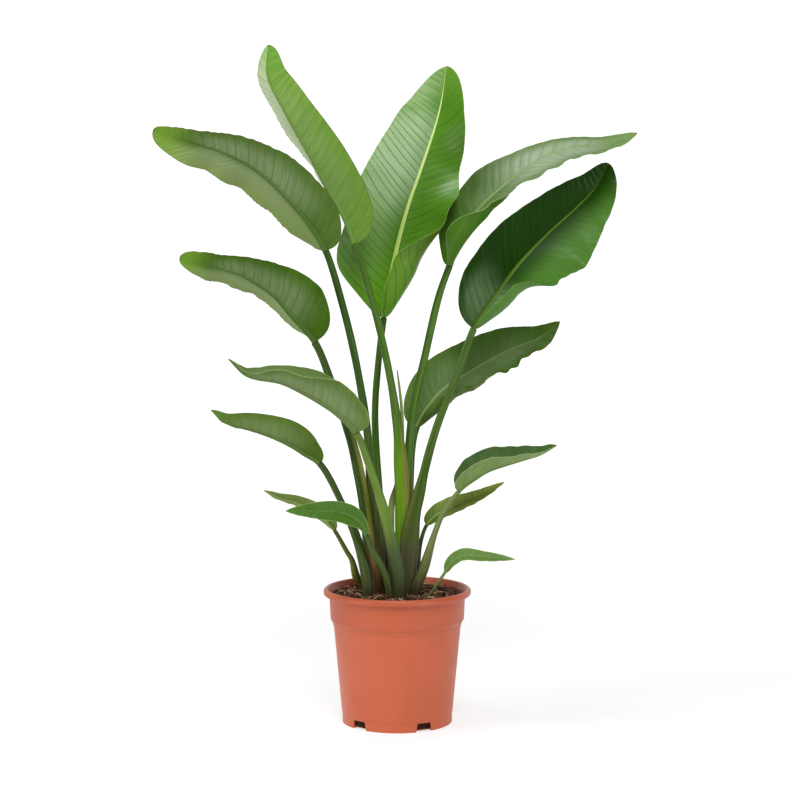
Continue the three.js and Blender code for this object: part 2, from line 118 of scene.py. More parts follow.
def floor():
    f = FLOOR
    line = [(f["front"], 0.0), (f["back"], 0.0)]
    for i in range(1, f["steps"] + 1):
        angle = math.pi / 2 * i / f["steps"]
        line.append((f["back"] + f["curve"] * math.sin(angle), f["curve"] * (1 - math.cos(angle))))
    line.append((f["back"] + f["curve"], f["wall"]))
    verts = [(x, y, z) for y, z in line for x in (-f["half"], f["half"])]
    faces = [(2 * i, 2 * i + 1, 2 * i + 3, 2 * i + 2) for i in range(len(line) - 1)]
    mesh = bpy.data.meshes.new("floor")
    mesh.from_pydata(verts, [], faces)
    mesh.shade_smooth()
    holder = bpy.data.objects.new("floor", mesh)
    bpy.context.scene.collection.objects.link(holder)
    mesh.materials.append(floor_material())


camera()

# ---------- materials ----------


def srgb(red, green, blue):
    """A colour given as the usual 0 to 255 values, for a node socket."""
    linear = [((c / 255 + 0.055) / 1.055) ** 2.4 if c > 10 else c / 255 / 12.92 for c in (red, green, blue)]
    return (*linear, 1.0)


def dimmed(color, share):
    return tuple(share * c for c in color[:3]) + (1,)


# The Mix node's colour sockets share their names with its other sockets, so they go by number.
MIX_SHARE, MIX_FIRST, MIX_SECOND, MIX_RESULT = 0, 6, 7, 2


class Graph:
    """One node material. Its helpers add a node and return its output."""

    def __init__(self, name):
        self.material = bpy.data.materials.new(name)
        self.material.use_nodes = True
        self.tree = self.material.node_tree
        self.shader = self.tree.nodes["Principled BSDF"]

    def put(self, socket, value):
        if isinstance(value, bpy.types.NodeSocket):
            self.tree.links.new(value, socket)
        else:
            socket.default_value = value

    def add(self, kind, inputs, output=0, **settings):
        node = self.tree.nodes.new("ShaderNode" + kind)
        for key, value in settings.items():
            setattr(node, key, value)
        for key, value in inputs.items():
            self.put(node.inputs[key], value)
        return node.outputs[output]

    def math(self, operation, a, b=0.0):
        return self.add("Math", {0: a, 1: b}, operation=operation)

    def times(self, a, b):
        return self.math("MULTIPLY", a, b)

    def plus(self, a, b):
        return self.math("ADD", a, b)

    def mix(self, share, a, b, blend="MIX"):
        inputs = {MIX_SHARE: share, MIX_FIRST: a, MIX_SECOND: b}
        return self.add("Mix", inputs, MIX_RESULT, data_type="RGBA", blend_type=blend)

    def shade(self, share, color, tint):
        """The colour multiplied by a tint, as far as share says."""
        return self.mix(share, color, tint, "MULTIPLY")

    def span(self, value, low, high, out_low=0.0, out_high=1.0):
        """value from low to high, eased into out_low to out_high."""
        inputs = {"Value": value, "From Min": low, "From Max": high, "To Min": out_low, "To Max": out_high}
        return self.add("MapRange", inputs, interpolation_type="SMOOTHSTEP")

    def noise(self, place, scale, detail=2.0, roughness=0.5):
        inputs = {"Vector": place, "Scale": scale, "Detail": detail, "Roughness": roughness}
        return self.add("TexNoise", inputs)

    def grain(self, u, v, seed, stretch):
        """Noise over two measures, each with its own scale, and its detail."""
        u_scale, v_scale, detail = stretch
        return self.noise(self.join(self.times(u, u_scale), self.times(v, v_scale), seed), 1.0, detail)

    def join(self, x, y, z):
        return self.add("CombineXYZ", {0: x, 1: y, 2: z})

    def parts(self, name):
        """The three numbers of a mesh attribute."""
        vector = self.add("Attribute", {}, "Vector", attribute_name=name)
        split = self.add("SeparateXYZ", {0: vector}).node
        return split.outputs[0], split.outputs[1], split.outputs[2]

    def place(self):
        return self.add("TexCoord", {}, "Object")

    def bump(self, height, strength, distance):
        made = self.add("Bump", {"Height": height, "Strength": strength, "Distance": distance})
        self.put(self.shader.inputs["Normal"], made)

    def finish(self, color, roughness, shine):
        self.put(self.shader.inputs["Base Color"], color)
        self.put(self.shader.inputs["Roughness"], roughness)
        self.shader.inputs["Specular IOR Level"].default_value = shine
        return self.material


def floor_material():
    """A pale floor that glows, so that only soft shade is left on it."""
    g = Graph("floor")
    f = FLOOR
    soft = g.noise(g.place(), 1.5, 1.0)
    tint = g.mix(soft, srgb(150, 150, 149), srgb(153, 153, 153))
    depth = g.add("SeparateXYZ", {0: g.place()}, "Y")
    glow = g.span(depth, *f["wall_glow_from"], f["glow"], f["wall_glow"])
    glow = g.math("SUBTRACT", glow, g.span(depth, *f["shade_from"], 0.0, f["shade"]))
    g.shader.inputs["Emission Color"].default_value = WHITE
    g.put(g.shader.inputs["Emission Strength"], glow)
    return g.finish(tint, 0.9, shine=0.0)


# The scale of each pattern along and across a leaf or stalk, and its detail.
LEAF_GRAIN = {"fine": (9.0, 0.5, 3.0), "broad": (1.1, 0.3, 2.0), "streak": (3.2, 0.4, 2.0)}
STALK_GRAIN = {"streak": (0.12, 6.0, 3.0), "broad": (0.3, 1.5, 2.0)}
SHEATH_GRAIN = (0.15, 8.0, 3.0)

# Tints that multiply the colour under them.
GRAIN_LIGHT = (1.4, 1.35, 1.2, 1)
BAND_SHADE = (0.66, 0.72, 0.55, 1)
# The streak tints also stand for painted sheen and painted shade on the fine ribbing.
STREAK_TONE_AND_SHEEN = (1.5, 1.4, 1.5, 1)
STREAK_SHADE = (0.6, 0.7, 0.5, 1)
CREASE_SHADE = (0.45, 0.5, 0.35, 1)
STALK_SHADE = (0.55, 0.6, 0.5, 1)
GROOVE_SHADE = (0.35, 0.42, 0.3, 1)
CRUMB_SHADE = (0.45, 0.4, 0.35, 1)
COLLAR_SHADE = (0.93, 0.91, 0.91, 1)
LIP_SHADE = (0.94, 0.92, 0.9, 1)


def leaf_material(name, look):
    """A leaf blade. Its faces differ, side veins run out from a midrib that is pale above, a waxy bloom with
    a painted sheen lies between midrib and margin, one half may carry a painted sheen, a painted shade line
    runs beside the midrib, and the margin and tip are toned."""
    g = Graph(name)
    along, across, face = g.parts("place")
    share, edge, rib = g.parts("share")
    phase, slant, seed = g.parts("vein")
    upper, under = look["upper"], look["under"]
    out = g.math("ABSOLUTE", across)
    fine, broad, streak = (g.grain(slant, out, seed, LEAF_GRAIN[key]) for key in ("fine", "broad", "streak"))
    patch = g.noise(g.join(along, across, seed), 0.35, 3.0, 0.6)

    upper_color = g.mix(patch, upper, look.get("upper_dark", dimmed(upper, 0.75)))
    under_color = g.mix(patch, under, dimmed(under, 0.82))
    color = g.mix(face, upper_color, under_color)
    color = g.shade(g.span(fine, 0.3, 0.7, 0.0, 0.2), color, GRAIN_LIGHT)
    color = g.shade(g.span(broad, 0.35, 0.65, 0.0, look.get("bands", 0.3)), color, BAND_SHADE)
    # Random streaks along the veins, lighter and darker, that also paint sheen and shade on the fine
    # ribbing.
    contrast = look.get("streaks", 0.3)
    color = g.shade(g.span(streak, 0.52, 0.7, 0.0, contrast), color, STREAK_TONE_AND_SHEEN)
    color = g.shade(g.span(streak, 0.48, 0.3, 0.0, contrast), color, STREAK_SHADE)
    # side paints a sheen: a sheen tone over one half of the blade, growing away from the midrib.
    if "side" in look:
        slope, tone, strength = look["side"]
        color = g.mix(g.span(g.times(across, slope), 0.0, 1.0, 0.0, strength), color, tone)
    # The waxy bloom is also a painted sheen, and on broad_right's base a painted highlight.
    if "bloom_and_sheen" in look:
        color = with_bloom_and_sheen(g, look["bloom_and_sheen"], color, share, edge, out, phase, streak)
    if "low" in look:
        reach, tone, strength = look["low"]
        color = g.mix(g.span(share, reach, 0.03, 0.0, strength), color, tone)

    off_middle = g.math("ABSOLUTE", g.math("SUBTRACT", g.math("FRACT", phase), 0.5))
    vein = g.times(g.span(off_middle, 0.4, 0.5), g.span(rib, 0.9, 1.3))
    color = g.mix(g.times(vein, look["lines"]), color, look["vein"])
    rib_tone = g.mix(face, look.get("rib", RIB), look.get("under_rib", dimmed(under, 1.12)))
    color = g.mix(g.span(rib, 0.95, 0.7, 0.0, 0.9), color, rib_tone)
    # A painted shade line just outside the midrib, on both halves.
    beside_rib = g.math("ABSOLUTE", g.math("SUBTRACT", rib, 1.05))
    color = g.shade(g.span(beside_rib, 0.25, 0.0, 0.0, 0.6), color, CREASE_SHADE)
    color = g.mix(g.span(share, 0.8, 0.97, 0.0, 0.7), color, look.get("tip", upper))
    color = g.mix(g.span(edge, 0.9, 0.3, 0.0, 0.8), color, look.get("edge", PALE_EDGE))
    color = g.mix(g.span(share, 0.99, 0.999), color, DRY_POINT)

    g.bump(g.plus(g.times(fine, 0.5), g.times(vein, -0.6)), 0.35, 0.0006)
    gloss = look["gloss"]
    rough = g.plus(g.times(face, 0.1), g.span(fine, 0.3, 0.7, gloss, gloss + 0.08))
    return g.finish(color, rough, look.get("shine", 0.18))


def with_bloom_and_sheen(g, bloom_and_sheen, color, share, edge, out, phase, streak):
    """The colour with a waxy bloom and painted sheen that fades at both ends and towards the margin, and
    follows the veins: painted shade of the ribbing makes it grow from one vein to the next.
    """
    tone, strength, first, last = bloom_and_sheen
    reach = g.math("DIVIDE", out, g.plus(out, g.times(edge, 0.1)))
    bloom_and_sheen_belt = g.times(g.span(reach, 0.95, 0.35), g.span(share, last, last - 0.18))
    bloom_and_sheen_belt = g.times(bloom_and_sheen_belt, g.span(share, first - 0.15, first + 0.1))
    # Painted shade of the ribbing: the sheen grows from one vein to the next and drops at each.
    painted_ribbing_shade = g.plus(streak, g.times(g.math("FRACT", phase), 0.5))
    bloom_and_sheen_belt = g.times(bloom_and_sheen_belt, g.span(painted_ribbing_shade, 0.35, 1.05, 0.55, 1.0))
    return g.mix(g.times(bloom_and_sheen_belt, strength), color, tone)


def stalk_material(name, look):
    """A leaf stalk: fine long streaks, a wider sheath tone below, a flank tone that is partly painted shade
    and highlight, a dark foot, painted shade in the groove and a brown sheath margin.
    """
    g = Graph(name)
    height, around, margin = g.parts("place")
    _, groove, seed = g.parts("share")
    green = look["stalk"]
    streak, broad = (g.grain(height, around, seed, STALK_GRAIN[key]) for key in ("streak", "broad"))
    wavy = g.plus(height, g.times(g.math("SUBTRACT", broad, 0.5), 5.0))

    color = g.mix(g.span(broad, 0.3, 0.7), green, dimmed(green, 0.72))
    top = look.get("sheath_top", 34.0)
    color = g.mix(g.span(wavy, top + 4.0, top - 5.0), color, look.get("sheath", green))
    # Below the sheath's top one flank takes a tone. Where a stalk gives none it is painted shade on the side
    # away from the key lamp; given tones are brown margins, and lower_left's pale one is a painted
    # highlight.
    tone, strength, side = look.get("flank_tone_and_painted_light", (SHADED_FLANK, 0.4, 1))
    low = g.span(wavy, top + 3.0, top - 5.0, 0.0, strength)
    turned = g.span(g.times(around, side), -0.1, 0.7)
    color = g.mix(g.times(low, turned), color, tone)
    color = g.mix(g.span(streak, 0.5, 0.75, 0.0, 0.25), color, PALE_STREAK)
    color = g.shade(g.span(streak, 0.5, 0.3, 0.0, 0.5), color, STALK_SHADE)
    foot_top = look.get("foot_top", 25.0)
    color = g.mix(g.span(wavy, foot_top + 3.0, foot_top - 5.0, 0.0, 0.85), color, look.get("foot", FOOT))
    color = g.mix(g.span(wavy, 20.5, 17.0, 0.0, 0.7), color, ROOT)
    # Painted shade in the stalk's groove.
    color = g.shade(g.times(groove, 0.35), color, GROOVE_SHADE)
    color = g.mix(g.span(margin, 1.9, 0.5, 0.0, 0.85), color, look.get("rim", BROWN_RIM))
    g.bump(streak, 0.3, 0.0005)
    return g.finish(color, g.span(streak, 0.3, 0.7, 0.36, 0.5), shine=0.2)


def sheath_material(name, look):
    g = Graph(name)
    height, around, _ = g.parts("place")
    share, _, seed = g.parts("share")
    streak = g.grain(height, around, seed, SHEATH_GRAIN)
    color = g.mix(g.span(streak, 0.35, 0.7), look["stalk"], dimmed(look["stalk"], 0.6))
    color = g.mix(g.span(share, 0.75, 1.0), color, look["tip"])
    g.bump(streak, 0.4, 0.0004)
    return g.finish(color, g.span(streak, 0.3, 0.7, 0.5, 0.65), shine=0.3)


def pot_material():
    """Satin moulded plastic: a fine skin, faint cloudiness, painted shade on the collar and lip, and patchy
    painted shade inside.
    """
    g = Graph("pot")
    place = g.place()
    height, inside, _ = g.parts("share")
    cloud = g.noise(place, 9.0, 3.0, 0.6)
    skin = g.noise(place, 900.0, 2.0, 0.6)
    color = g.mix(g.span(cloud, 0.3, 0.7), srgb(190, 90, 54), srgb(182, 84, 48))
    # Painted shade: from the collar up the pot is a little darker, and the lip more.
    color = g.shade(g.span(height, 12.8, 13.8), color, COLLAR_SHADE)
    color = g.shade(g.span(height, 17.1, 17.3), color, LIP_SHADE)
    # Painted shade, patchy, on the inside of the pot.
    inner_shade_noise = g.noise(place, 60.0, 4.0, 0.7)
    inner_shade = g.times(inside, g.span(inner_shade_noise, 0.35, 0.65, 0.1, 0.6))
    color = g.mix(inner_shade, color, srgb(124, 66, 42))
    g.bump(g.plus(skin, g.times(cloud, 2.0)), 0.12, 0.0004)
    return g.finish(color, g.span(cloud, 0.3, 0.7, 0.4, 0.5), shine=0.45)


def soil_material():
    """Dark peaty compost with lighter grains."""
    g = Graph("soil")
    place = g.place()
    lumps = g.noise(place, 160.0, 5.0, 0.7)
    grain = g.noise(place, 620.0, 4.0, 0.7)
    color = g.mix(g.span(lumps, 0.35, 0.65), srgb(30, 16, 8), srgb(64, 34, 18))
    color = g.mix(g.span(grain, 0.6, 0.72, 0.0, 0.8), color, srgb(132, 88, 54))
    g.bump(g.plus(lumps, g.times(grain, 0.5)), 0.8, 0.0015)
    return g.finish(color, 0.92, shine=0.1)


def litter_material(name, dark, pale):
    """Crumbs or fibres, each with its own tone from dark to pale."""
    g = Graph(name)
    tone, _, _ = g.parts("share")
    grain = g.noise(g.place(), 450.0, 3.0, 0.7)
    color = g.mix(tone, dark, pale)
    color = g.shade(g.span(grain, 0.4, 0.7, 0.0, 0.5), color, CRUMB_SHADE)
    g.bump(grain, 0.6, 0.0005)
    return g.finish(color, 0.8, shine=0.2)


# ---------- leaves, as in the CAD ----------

# Stalk points run from the foot in the soil to the blade, rib points from there to the tip.
# across and through are the stalk's half widths, seen from the front and from the side.
# turn is the blade's angle about its midrib: at 0 degrees the upper face looks to the front.
# right and left are the halves on the right and left of the midrib, seen on the upper face, tip up.
# Lists are spread evenly from the blade's base to its tip. turn, fold, curl and roll are in degrees:
# fold is a half's slope at the midrib, curl what it gains over its width, and roll what only its outer
# part gains. width scales a half, wave is its margin's height, number of waves and first one's place,
# and blunt under 1 rounds the tip.
LEAVES = [
    dict(
        name="tall_left", half_width=48, widest_at=0.27, blunt=0.7, turn=[138, 142, 150, 152],
        stalk=[[8, 4, 150], [8, 4, 234], [7, 4, 302], [1, 2, 393], [-14, -6, 488], [-42, -20, 599],
        [-57, -26, 642]],
        across=[8, 9.5, 11, 9.5, 6.5, 5, 4.8, 4.6, 4.4], through=[6, 6, 6, 5.6, 5, 4.8, 4.6, 4.4, 4.2],
        rib=[[-70, -34, 677], [-91, -42, 714], [-110, -50, 750], [-146, -60, 814], [-167, -62, 859],
        [-165, -60, 898]],
        right=dict(fold=[52, 46, 38, 22], width=[1, 1, 0.93, 1]),
        left=dict(fold=[42, 40, 35, 35], width=[0.9, 0.97, 0.95, 1.1], wave=[1, 2.6, 0.1]),
    ),
    dict(
        name="arching_right", half_width=50, widest_at=0.25, blunt=0.75, turn=[-50, -52, -60, -60],
        stalk=[[17, 12, 150], [16, 13, 233], [14, 14, 298], [20, 20, 414], [36, 26, 486], [56, 30, 572],
        [70, 32, 612]],
        across=[7, 7, 5.5, 5.2, 4.8], through=[6, 6, 5, 5, 4.6],
        rib=[[88, 36, 658], [114, 42, 693], [149, 48, 724], [188, 50, 754], [234, 52, 771],
        [277, 50, 776], [322, 45, 790]],
        right=dict(fold=[13, 16, 11, 0, 0], curl=[77, 30, 6, 6, 0], roll=[157, 21, 5, 15, 0],
        width=[1.35, 2.1, 1.85, 0.8, 1.5, 1.15, 1.05, 1.1], wave=[0.6, 7, 0.2]),
        left=dict(fold=[30, 10, 5, 5], width=[0.45, 0.88, 1.1, 0.86, 0.72, 0.7]),
    ),
    dict(
        name="broad_right", half_width=66, widest_at=0.38, blunt=0.85, turn=[-5],
        stalk=[[17, -1, 150], [15, -4, 211], [19, -4, 265], [30, 2, 312], [51, 12, 391], [83, 24, 473],
        [103, 30, 528]],
        across=[9, 11, 12.5, 8.6, 6, 5.4, 5.2, 5, 4.8], through=[7, 7, 7, 6.5, 5.6, 5.2, 5, 4.8, 4.6],
        rib=[[123, 38, 559], [163, 54, 613], [206, 68, 657], [245, 76, 692], [269, 79, 717],
        [288, 82, 751]],
        right=dict(fold=[10, 10, 12, 15, 18, 20], curl=[150, 135, 40, 0, 0, 0],
        width=[1.15, 1.2, 1.06, 1.13, 0.95, 0.8], wave=[2, 5, 0]),
        left=dict(fold=[20, 35, 35, 25], width=[1.1, 1, 0.9, 0.72]),
    ),
    dict(
        name="lower_left", half_width=50, widest_at=0.24, turn=[100],
        stalk=[[4, -23, 150], [2, -23, 185], [-1, -26, 210], [-10, -31, 260], [-22, -42, 308],
        [-38, -58, 358], [-53, -74, 398]],
        across=[10.5, 10, 7.5, 5.5, 5], through=[8.5, 8, 6, 5.2, 4.8],
        rib=[[-80, -86, 426], [-100, -96, 440], [-123, -108, 454], [-147, -120, 466], [-190, -142, 477],
        [-212, -152, 499]],
        right=dict(fold=[45, 50, 45, 30], width=[1, 1, 0.85, 0.85]),
        left=dict(fold=[45, 40, 30, 20], width=[0.8, 1, 0.75, 0.8], wave=[2, 3, 0.2]),
    ),
    dict(
        name="broad_left", half_width=53, widest_at=0.3, blunt=0.6, turn=[133, 135, 142, 148],
        stalk=[[-29, 4, 150], [-31, 0, 259], [-35, -4, 327], [-40, -10, 394], [-55, -26, 490],
        [-72, -38, 564], [-93, -52, 634]],
        across=[9, 8, 5.5, 5, 4.6], through=[7, 6, 5, 5, 4.6],
        rib=[[-110, -60, 664], [-131, -70, 690], [-176, -92, 734], [-224, -116, 760], [-260, -132, 771],
        [-304, -148, 786]],
        right=dict(fold=[8, 4, -8, -15], width=[1, 0.93, 0.8, 0.9], wave=[2.5, 4.5, 0.1]),
        left=dict(fold=[8, 4, -8, -15], width=[1.05, 1.12, 1.1, 0.95, 0.68, 0.62]),
    ),
    dict(
        name="broad_centre", half_width=80, widest_at=0.36, turn=[-15, -12, -24, -26, -30],
        stalk=[[-19, 15, 150], [-22, 17, 243], [-26, 21, 325], [-30, 27, 415], [-25, 31, 487],
        [-18, 34, 543]],
        across=[9.5, 8, 5, 4.6, 4.4], through=[7, 6, 5, 5, 4.6],
        rib=[[-3, 40, 626], [14, 48, 691], [32, 60, 742], [57, 83, 819], [68, 111, 884]],
        right=dict(fold=[-5, -18, -18, -8, 20, 15], curl=[188, 193, 94, 0, 0, 0],
        width=[1.16, 1.36, 1.15, 0.73, 0.92, 1], wave=[1, 2.2, 0.4]),
        left=dict(fold=[15, 22, 20, 10], curl=[10, 10, 5, 0],
        width=[0.65, 1.1, 0.96, 0.94, 0.94, 1.02, 1.15]),
    ),
    dict(
        name="middle_left", half_width=48, widest_at=0.28, blunt=0.62, turn=[145, 148, 152, 152],
        stalk=[[-35, -13, 150], [-38, -13, 241], [-46, -12, 309], [-58, -12, 370], [-69, -15, 406],
        [-89, -26, 466], [-108, -44, 514]],
        across=[8, 8, 7.5, 5.2, 5], through=[6, 6, 6, 5, 4.6],
        rib=[[-139, -60, 551], [-158, -70, 574], [-182, -82, 592], [-203, -92, 604], [-239, -104, 615],
        [-276, -114, 627]],
        right=dict(fold=[40, 36, 24, 5], width=[1, 0.95, 0.8, 0.85], wave=[1.5, 4.3, 0.3]),
        left=dict(fold=[35, 25, 0, -10], width=[1, 1.12, 0.86, 0.62, 0.8]),
    ),
    dict(
        name="middle_right", half_width=45, widest_at=0.3, turn=[-40],
        stalk=[[15, 26, 150], [17, 32, 296], [21, 43, 365], [27, 53, 392]],
        across=[6, 5, 4], through=[5, 4.6, 4],
        rib=[[45, 67, 423], [65, 77, 444], [104, 90, 468], [150, 98, 493], [198, 103, 513],
        [225, 105, 534]],
        right=dict(fold=[10, 15, 12, 8], curl=[60, 10, 0, 0], roll=[90, 80, 20, 0],
        width=[1.6, 1.25, 1.05, 1], wave=[3, 4, 0.2]),
        left=dict(fold=[15, 12, 10, 8], width=[0.9, 1.08, 1.12, 1]),
    ),
    dict(
        name="low_left", small=True, half_width=36, widest_at=0.36, turn=[130],
        stalk=[[-38, -25, 150], [-41, -25, 198], [-52, -27, 247], [-74, -33, 302], [-102, -43, 354]],
        across=[7, 7.5, 6, 4.6, 4.4], through=[5, 5, 5, 4.4, 4],
        rib=[[-122, -50, 368], [-140, -58, 380], [-161, -68, 391], [-183, -78, 400], [-223, -96, 414],
        [-239, -102, 430]],
        right=dict(fold=[30]),
        left=dict(fold=[30], width=[0.85, 0.95, 0.85, 0.85]),
    ),
    dict(
        name="lower_right", small=True, half_width=38, widest_at=0.3, turn=[-75],
        stalk=[[20, -9, 150], [26, -10, 184], [35, -11, 208], [50, -13, 257], [60, -14, 282],
        [82, -18, 314]],
        across=[7.5, 7, 4, 3.2], through=[5.5, 5, 3.6, 3],
        rib=[[104, -21, 331], [122, -24, 342], [145, -27, 350], [167, -30, 357], [189, -32, 364],
        [211, -34, 377]],
        right=dict(fold=[50, 48, 38, 28]),
        left=dict(fold=[35, 30, 20, 20]),
    ),
    dict(
        name="low_right", small=True, half_width=17, widest_at=0.3, turn=[-50],
        stalk=[[28, 26, 150], [29, 25, 215], [32, 24, 240], [40, 22, 263]],
        across=[3, 3, 2.6], through=[3, 3, 2.6],
        rib=[[54, 26, 276], [72, 32, 285], [93, 40, 293], [116, 48, 302], [146, 56, 317]],
        right=dict(fold=[15]),
        left=dict(fold=[15], width=[1, 0.95, 0.75, 0.7]),
    ),
    dict(
        name="small_left_back", small=True, half_width=15, widest_at=0.34, turn=[146],
        stalk=[[-46, 42, 150], [-49, 42, 180], [-55, 40, 187], [-62, 37, 213], [-69, 35, 225],
        [-85, 30, 254]],
        across=[6, 5.6, 3.4, 2.8], through=[5, 4.6, 3.2, 2.6],
        rib=[[-97, 26, 269], [-115, 22, 283], [-136, 16, 295], [-158, 10, 302], [-179, 4, 312]],
        right=dict(fold=[24]),
        left=dict(fold=[24], width=[1, 0.9, 0.7, 0.7]),
    ),
    dict(
        name="small_left_front", small=True, half_width=16, widest_at=0.3, turn=[20],
        stalk=[[-10, -33, 150], [-11, -33, 174], [-14, -34, 197], [-19, -37, 213], [-32, -43, 238],
        [-40, -50, 260]],
        across=[4.2, 4.2, 4.4, 3.4], through=[3.6, 3.6, 3.6, 3],
        rib=[[-46, -54, 274], [-59, -60, 286], [-77, -68, 293], [-100, -78, 296], [-144, -92, 298]],
        right=dict(fold=[15], width=[0.4, 0.9, 1, 1]),
        left=dict(fold=[15], width=[0.4, 0.9, 1, 1]),
    ),
    dict(
        name="seedling_right", small=True, half_width=11, widest_at=0.32, turn=[-50],
        stalk=[[36, -22, 152], [39, -23, 169], [46, -24, 179], [64, -32, 208]],
        across=[2.4, 2.3, 2.1], through=[2.4, 2.3, 2.1],
        rib=[[73, -36, 222], [88, -40, 231], [112, -46, 230], [155, -52, 228]],
        right=dict(fold=[15]),
        left=dict(fold=[15]),
    ),
]

# A rolled new leaf between the two inner stalks, and a short old sheath behind them.
SHOOTS = [
    dict(
        name="rolled_leaf",
        path=[[7, 6, 380], [7, 6, 398], [6, 5, 421], [4, 4, 442], [0, 4, 474]],
        across=[2.6, 2.4, 2, 1.6, 0.8], through=[2.4, 2.2, 1.8, 1.4, 0.8],
    ),
    dict(
        name="short_sheath",
        path=[[-8, 9, 150], [-8, 9, 220], [-8, 9, 285], [-6, 9, 303], [-3, 8, 321]],
        across=[4.5, 4.7, 4.7, 4.7, 4.7, 4.6, 4.2, 0.8], through=[4, 3.6, 3, 3, 2.6, 2.4, 2, 0.8],
    ),
]

# ---------- curves ----------

GAP = 0.3  # between a stalk and what it clasps, as in the CAD
JOINT_GAP = 0.1  # between a stalk and its blade
LINE_STEPS = 40
TINY = 1e-4


def curve_at(points, t):
    """Points on a centripetal Catmull-Rom curve through the given points."""
    ends = np.vstack([2 * points[0] - points[1], points, 2 * points[-1] - points[-2]])
    count = len(points) - 1
    place = np.clip(t, 0, 1) * count
    i = np.minimum(place.astype(int), count - 1)
    w = (place - i)[:, None]
    x0, x1, x2, x3 = ends[i], ends[i + 1], ends[i + 2], ends[i + 3]

    def knot(a, b):
        return np.maximum(np.sqrt(np.linalg.norm(a - b, axis=1)), TINY)[:, None]

    d0, d1, d2 = knot(x0, x1), knot(x1, x2), knot(x2, x3)
    a = ((x1 - x0) / d0 - (x2 - x0) / (d0 + d1) + (x2 - x1) / d1) * d1
    b = ((x2 - x1) / d1 - (x3 - x1) / (d1 + d2) + (x3 - x2) / d2) * d1
    return x1 + a * w + (-3 * x1 + 3 * x2 - 2 * a - b) * w**2 + (2 * x1 - 2 * x2 + a + b) * w**3


class Line:
    """A smooth curve measured by its length."""

    def __init__(self, points):
        self.points = np.array(points, float)
        self.t = np.linspace(0, 1, LINE_STEPS * (len(points) - 1) + 1)
        steps = np.diff(curve_at(self.points, self.t), axis=0)
        self.lengths = np.concatenate([[0], np.cumsum(np.linalg.norm(steps, axis=1))])
        self.length = self.lengths[-1]

    def frames(self, share):
        """Centre, tangent, front-facing and right-hand directions at shares of the length."""
        t = np.interp(share * self.length, self.lengths, self.t)
        ahead = curve_at(self.points, np.minimum(t + TINY, 1))
        tangent = unit(ahead - curve_at(self.points, np.maximum(t - TINY, 0)))
        front = unit(FRONT - tangent * (tangent @ FRONT)[:, None])
        return curve_at(self.points, t), tangent, front, np.cross(tangent, front)


def leaf_line(leaf):
    """A leaf's line from foot to tip, and the share of its length at which the stalk ends."""
    line = Line(leaf["stalk"] + leaf["rib"])
    return line, line.lengths[LINE_STEPS * (len(leaf["stalk"]) - 1)] / line.length


def unit(vectors):
    return vectors / np.linalg.norm(vectors, axis=1, keepdims=True)


def ease(value):
    value = np.clip(value, 0, 1)
    return value * value * (3 - 2 * value)


def span(value, low, high):
    return ease((value - low) / (high - low))


def along(values, t):
    """The value at t of a list spread evenly along a length and blended smoothly."""
    values = np.array(values, float)
    if len(values) == 1:
        return np.full_like(t, values[0])
    place = np.clip(t, 0, 1) * (len(values) - 1)
    i = np.minimum(place.astype(int), len(values) - 2)
    share = ease(place - i)
    return values[i] * (1 - share) + values[i + 1] * share


def ripple(rng, count, low, high):
    """A smooth random wave: a few sines with seeded lengths from low to high, and seeded phases."""
    waves = [(rng.uniform(low, high), rng.uniform(0, 2 * math.pi)) for _ in range(count)]
    return lambda x: sum(np.sin(2 * math.pi * x / length + phase) for length, phase in waves) / count**0.5


# ---------- meshes ----------


def set_attribute(mesh, key, values):
    layer = mesh.attributes.new(key, "FLOAT_VECTOR", "POINT")
    layer.data.foreach_set("vector", np.asarray(values, np.float32).ravel())


def add_mesh(name, verts, faces, material, attributes, sharp=50):
    """A surface from millimetre points, with its attributes, smooth up to the sharp angle in degrees."""
    mesh = bpy.data.meshes.new(name)
    mesh.from_pydata((np.asarray(verts) * MM).tolist(), [], faces)
    for key, values in attributes.items():
        set_attribute(mesh, key, values)
    mesh.shade_smooth()
    mesh.set_sharp_from_angle(angle=math.radians(sharp))
    mesh.materials.append(material)
    holder = bpy.data.objects.new(name, mesh)
    bpy.context.scene.collection.objects.link(holder)
    return holder


def grid_faces(rows, columns, first=0, closed=False, flip=False):
    """Quads between rows of points; closed joins the last column to the first."""
    faces = []
    for i in range(rows - 1):
        for j in range(columns if closed else columns - 1):
            k = (j + 1) % columns
            a, b = first + i * columns + j, first + i * columns + k
            c, d = b + columns, a + columns
            faces.append((a, d, c, b) if flip else (a, b, c, d))
    return faces


def tube_faces(rows, sides):
    """A closed tube, with a fan at each end to the two points that follow its rings."""
    faces = grid_faces(rows, sides, closed=True)
    bottom, top = rows * sides, rows * sides + 1
    last = (rows - 1) * sides
    for j in range(sides):
        k = (j + 1) % sides
        faces += [(bottom, k, j), (top, last + j, last + k)]
    return faces


# ---------- blades ----------

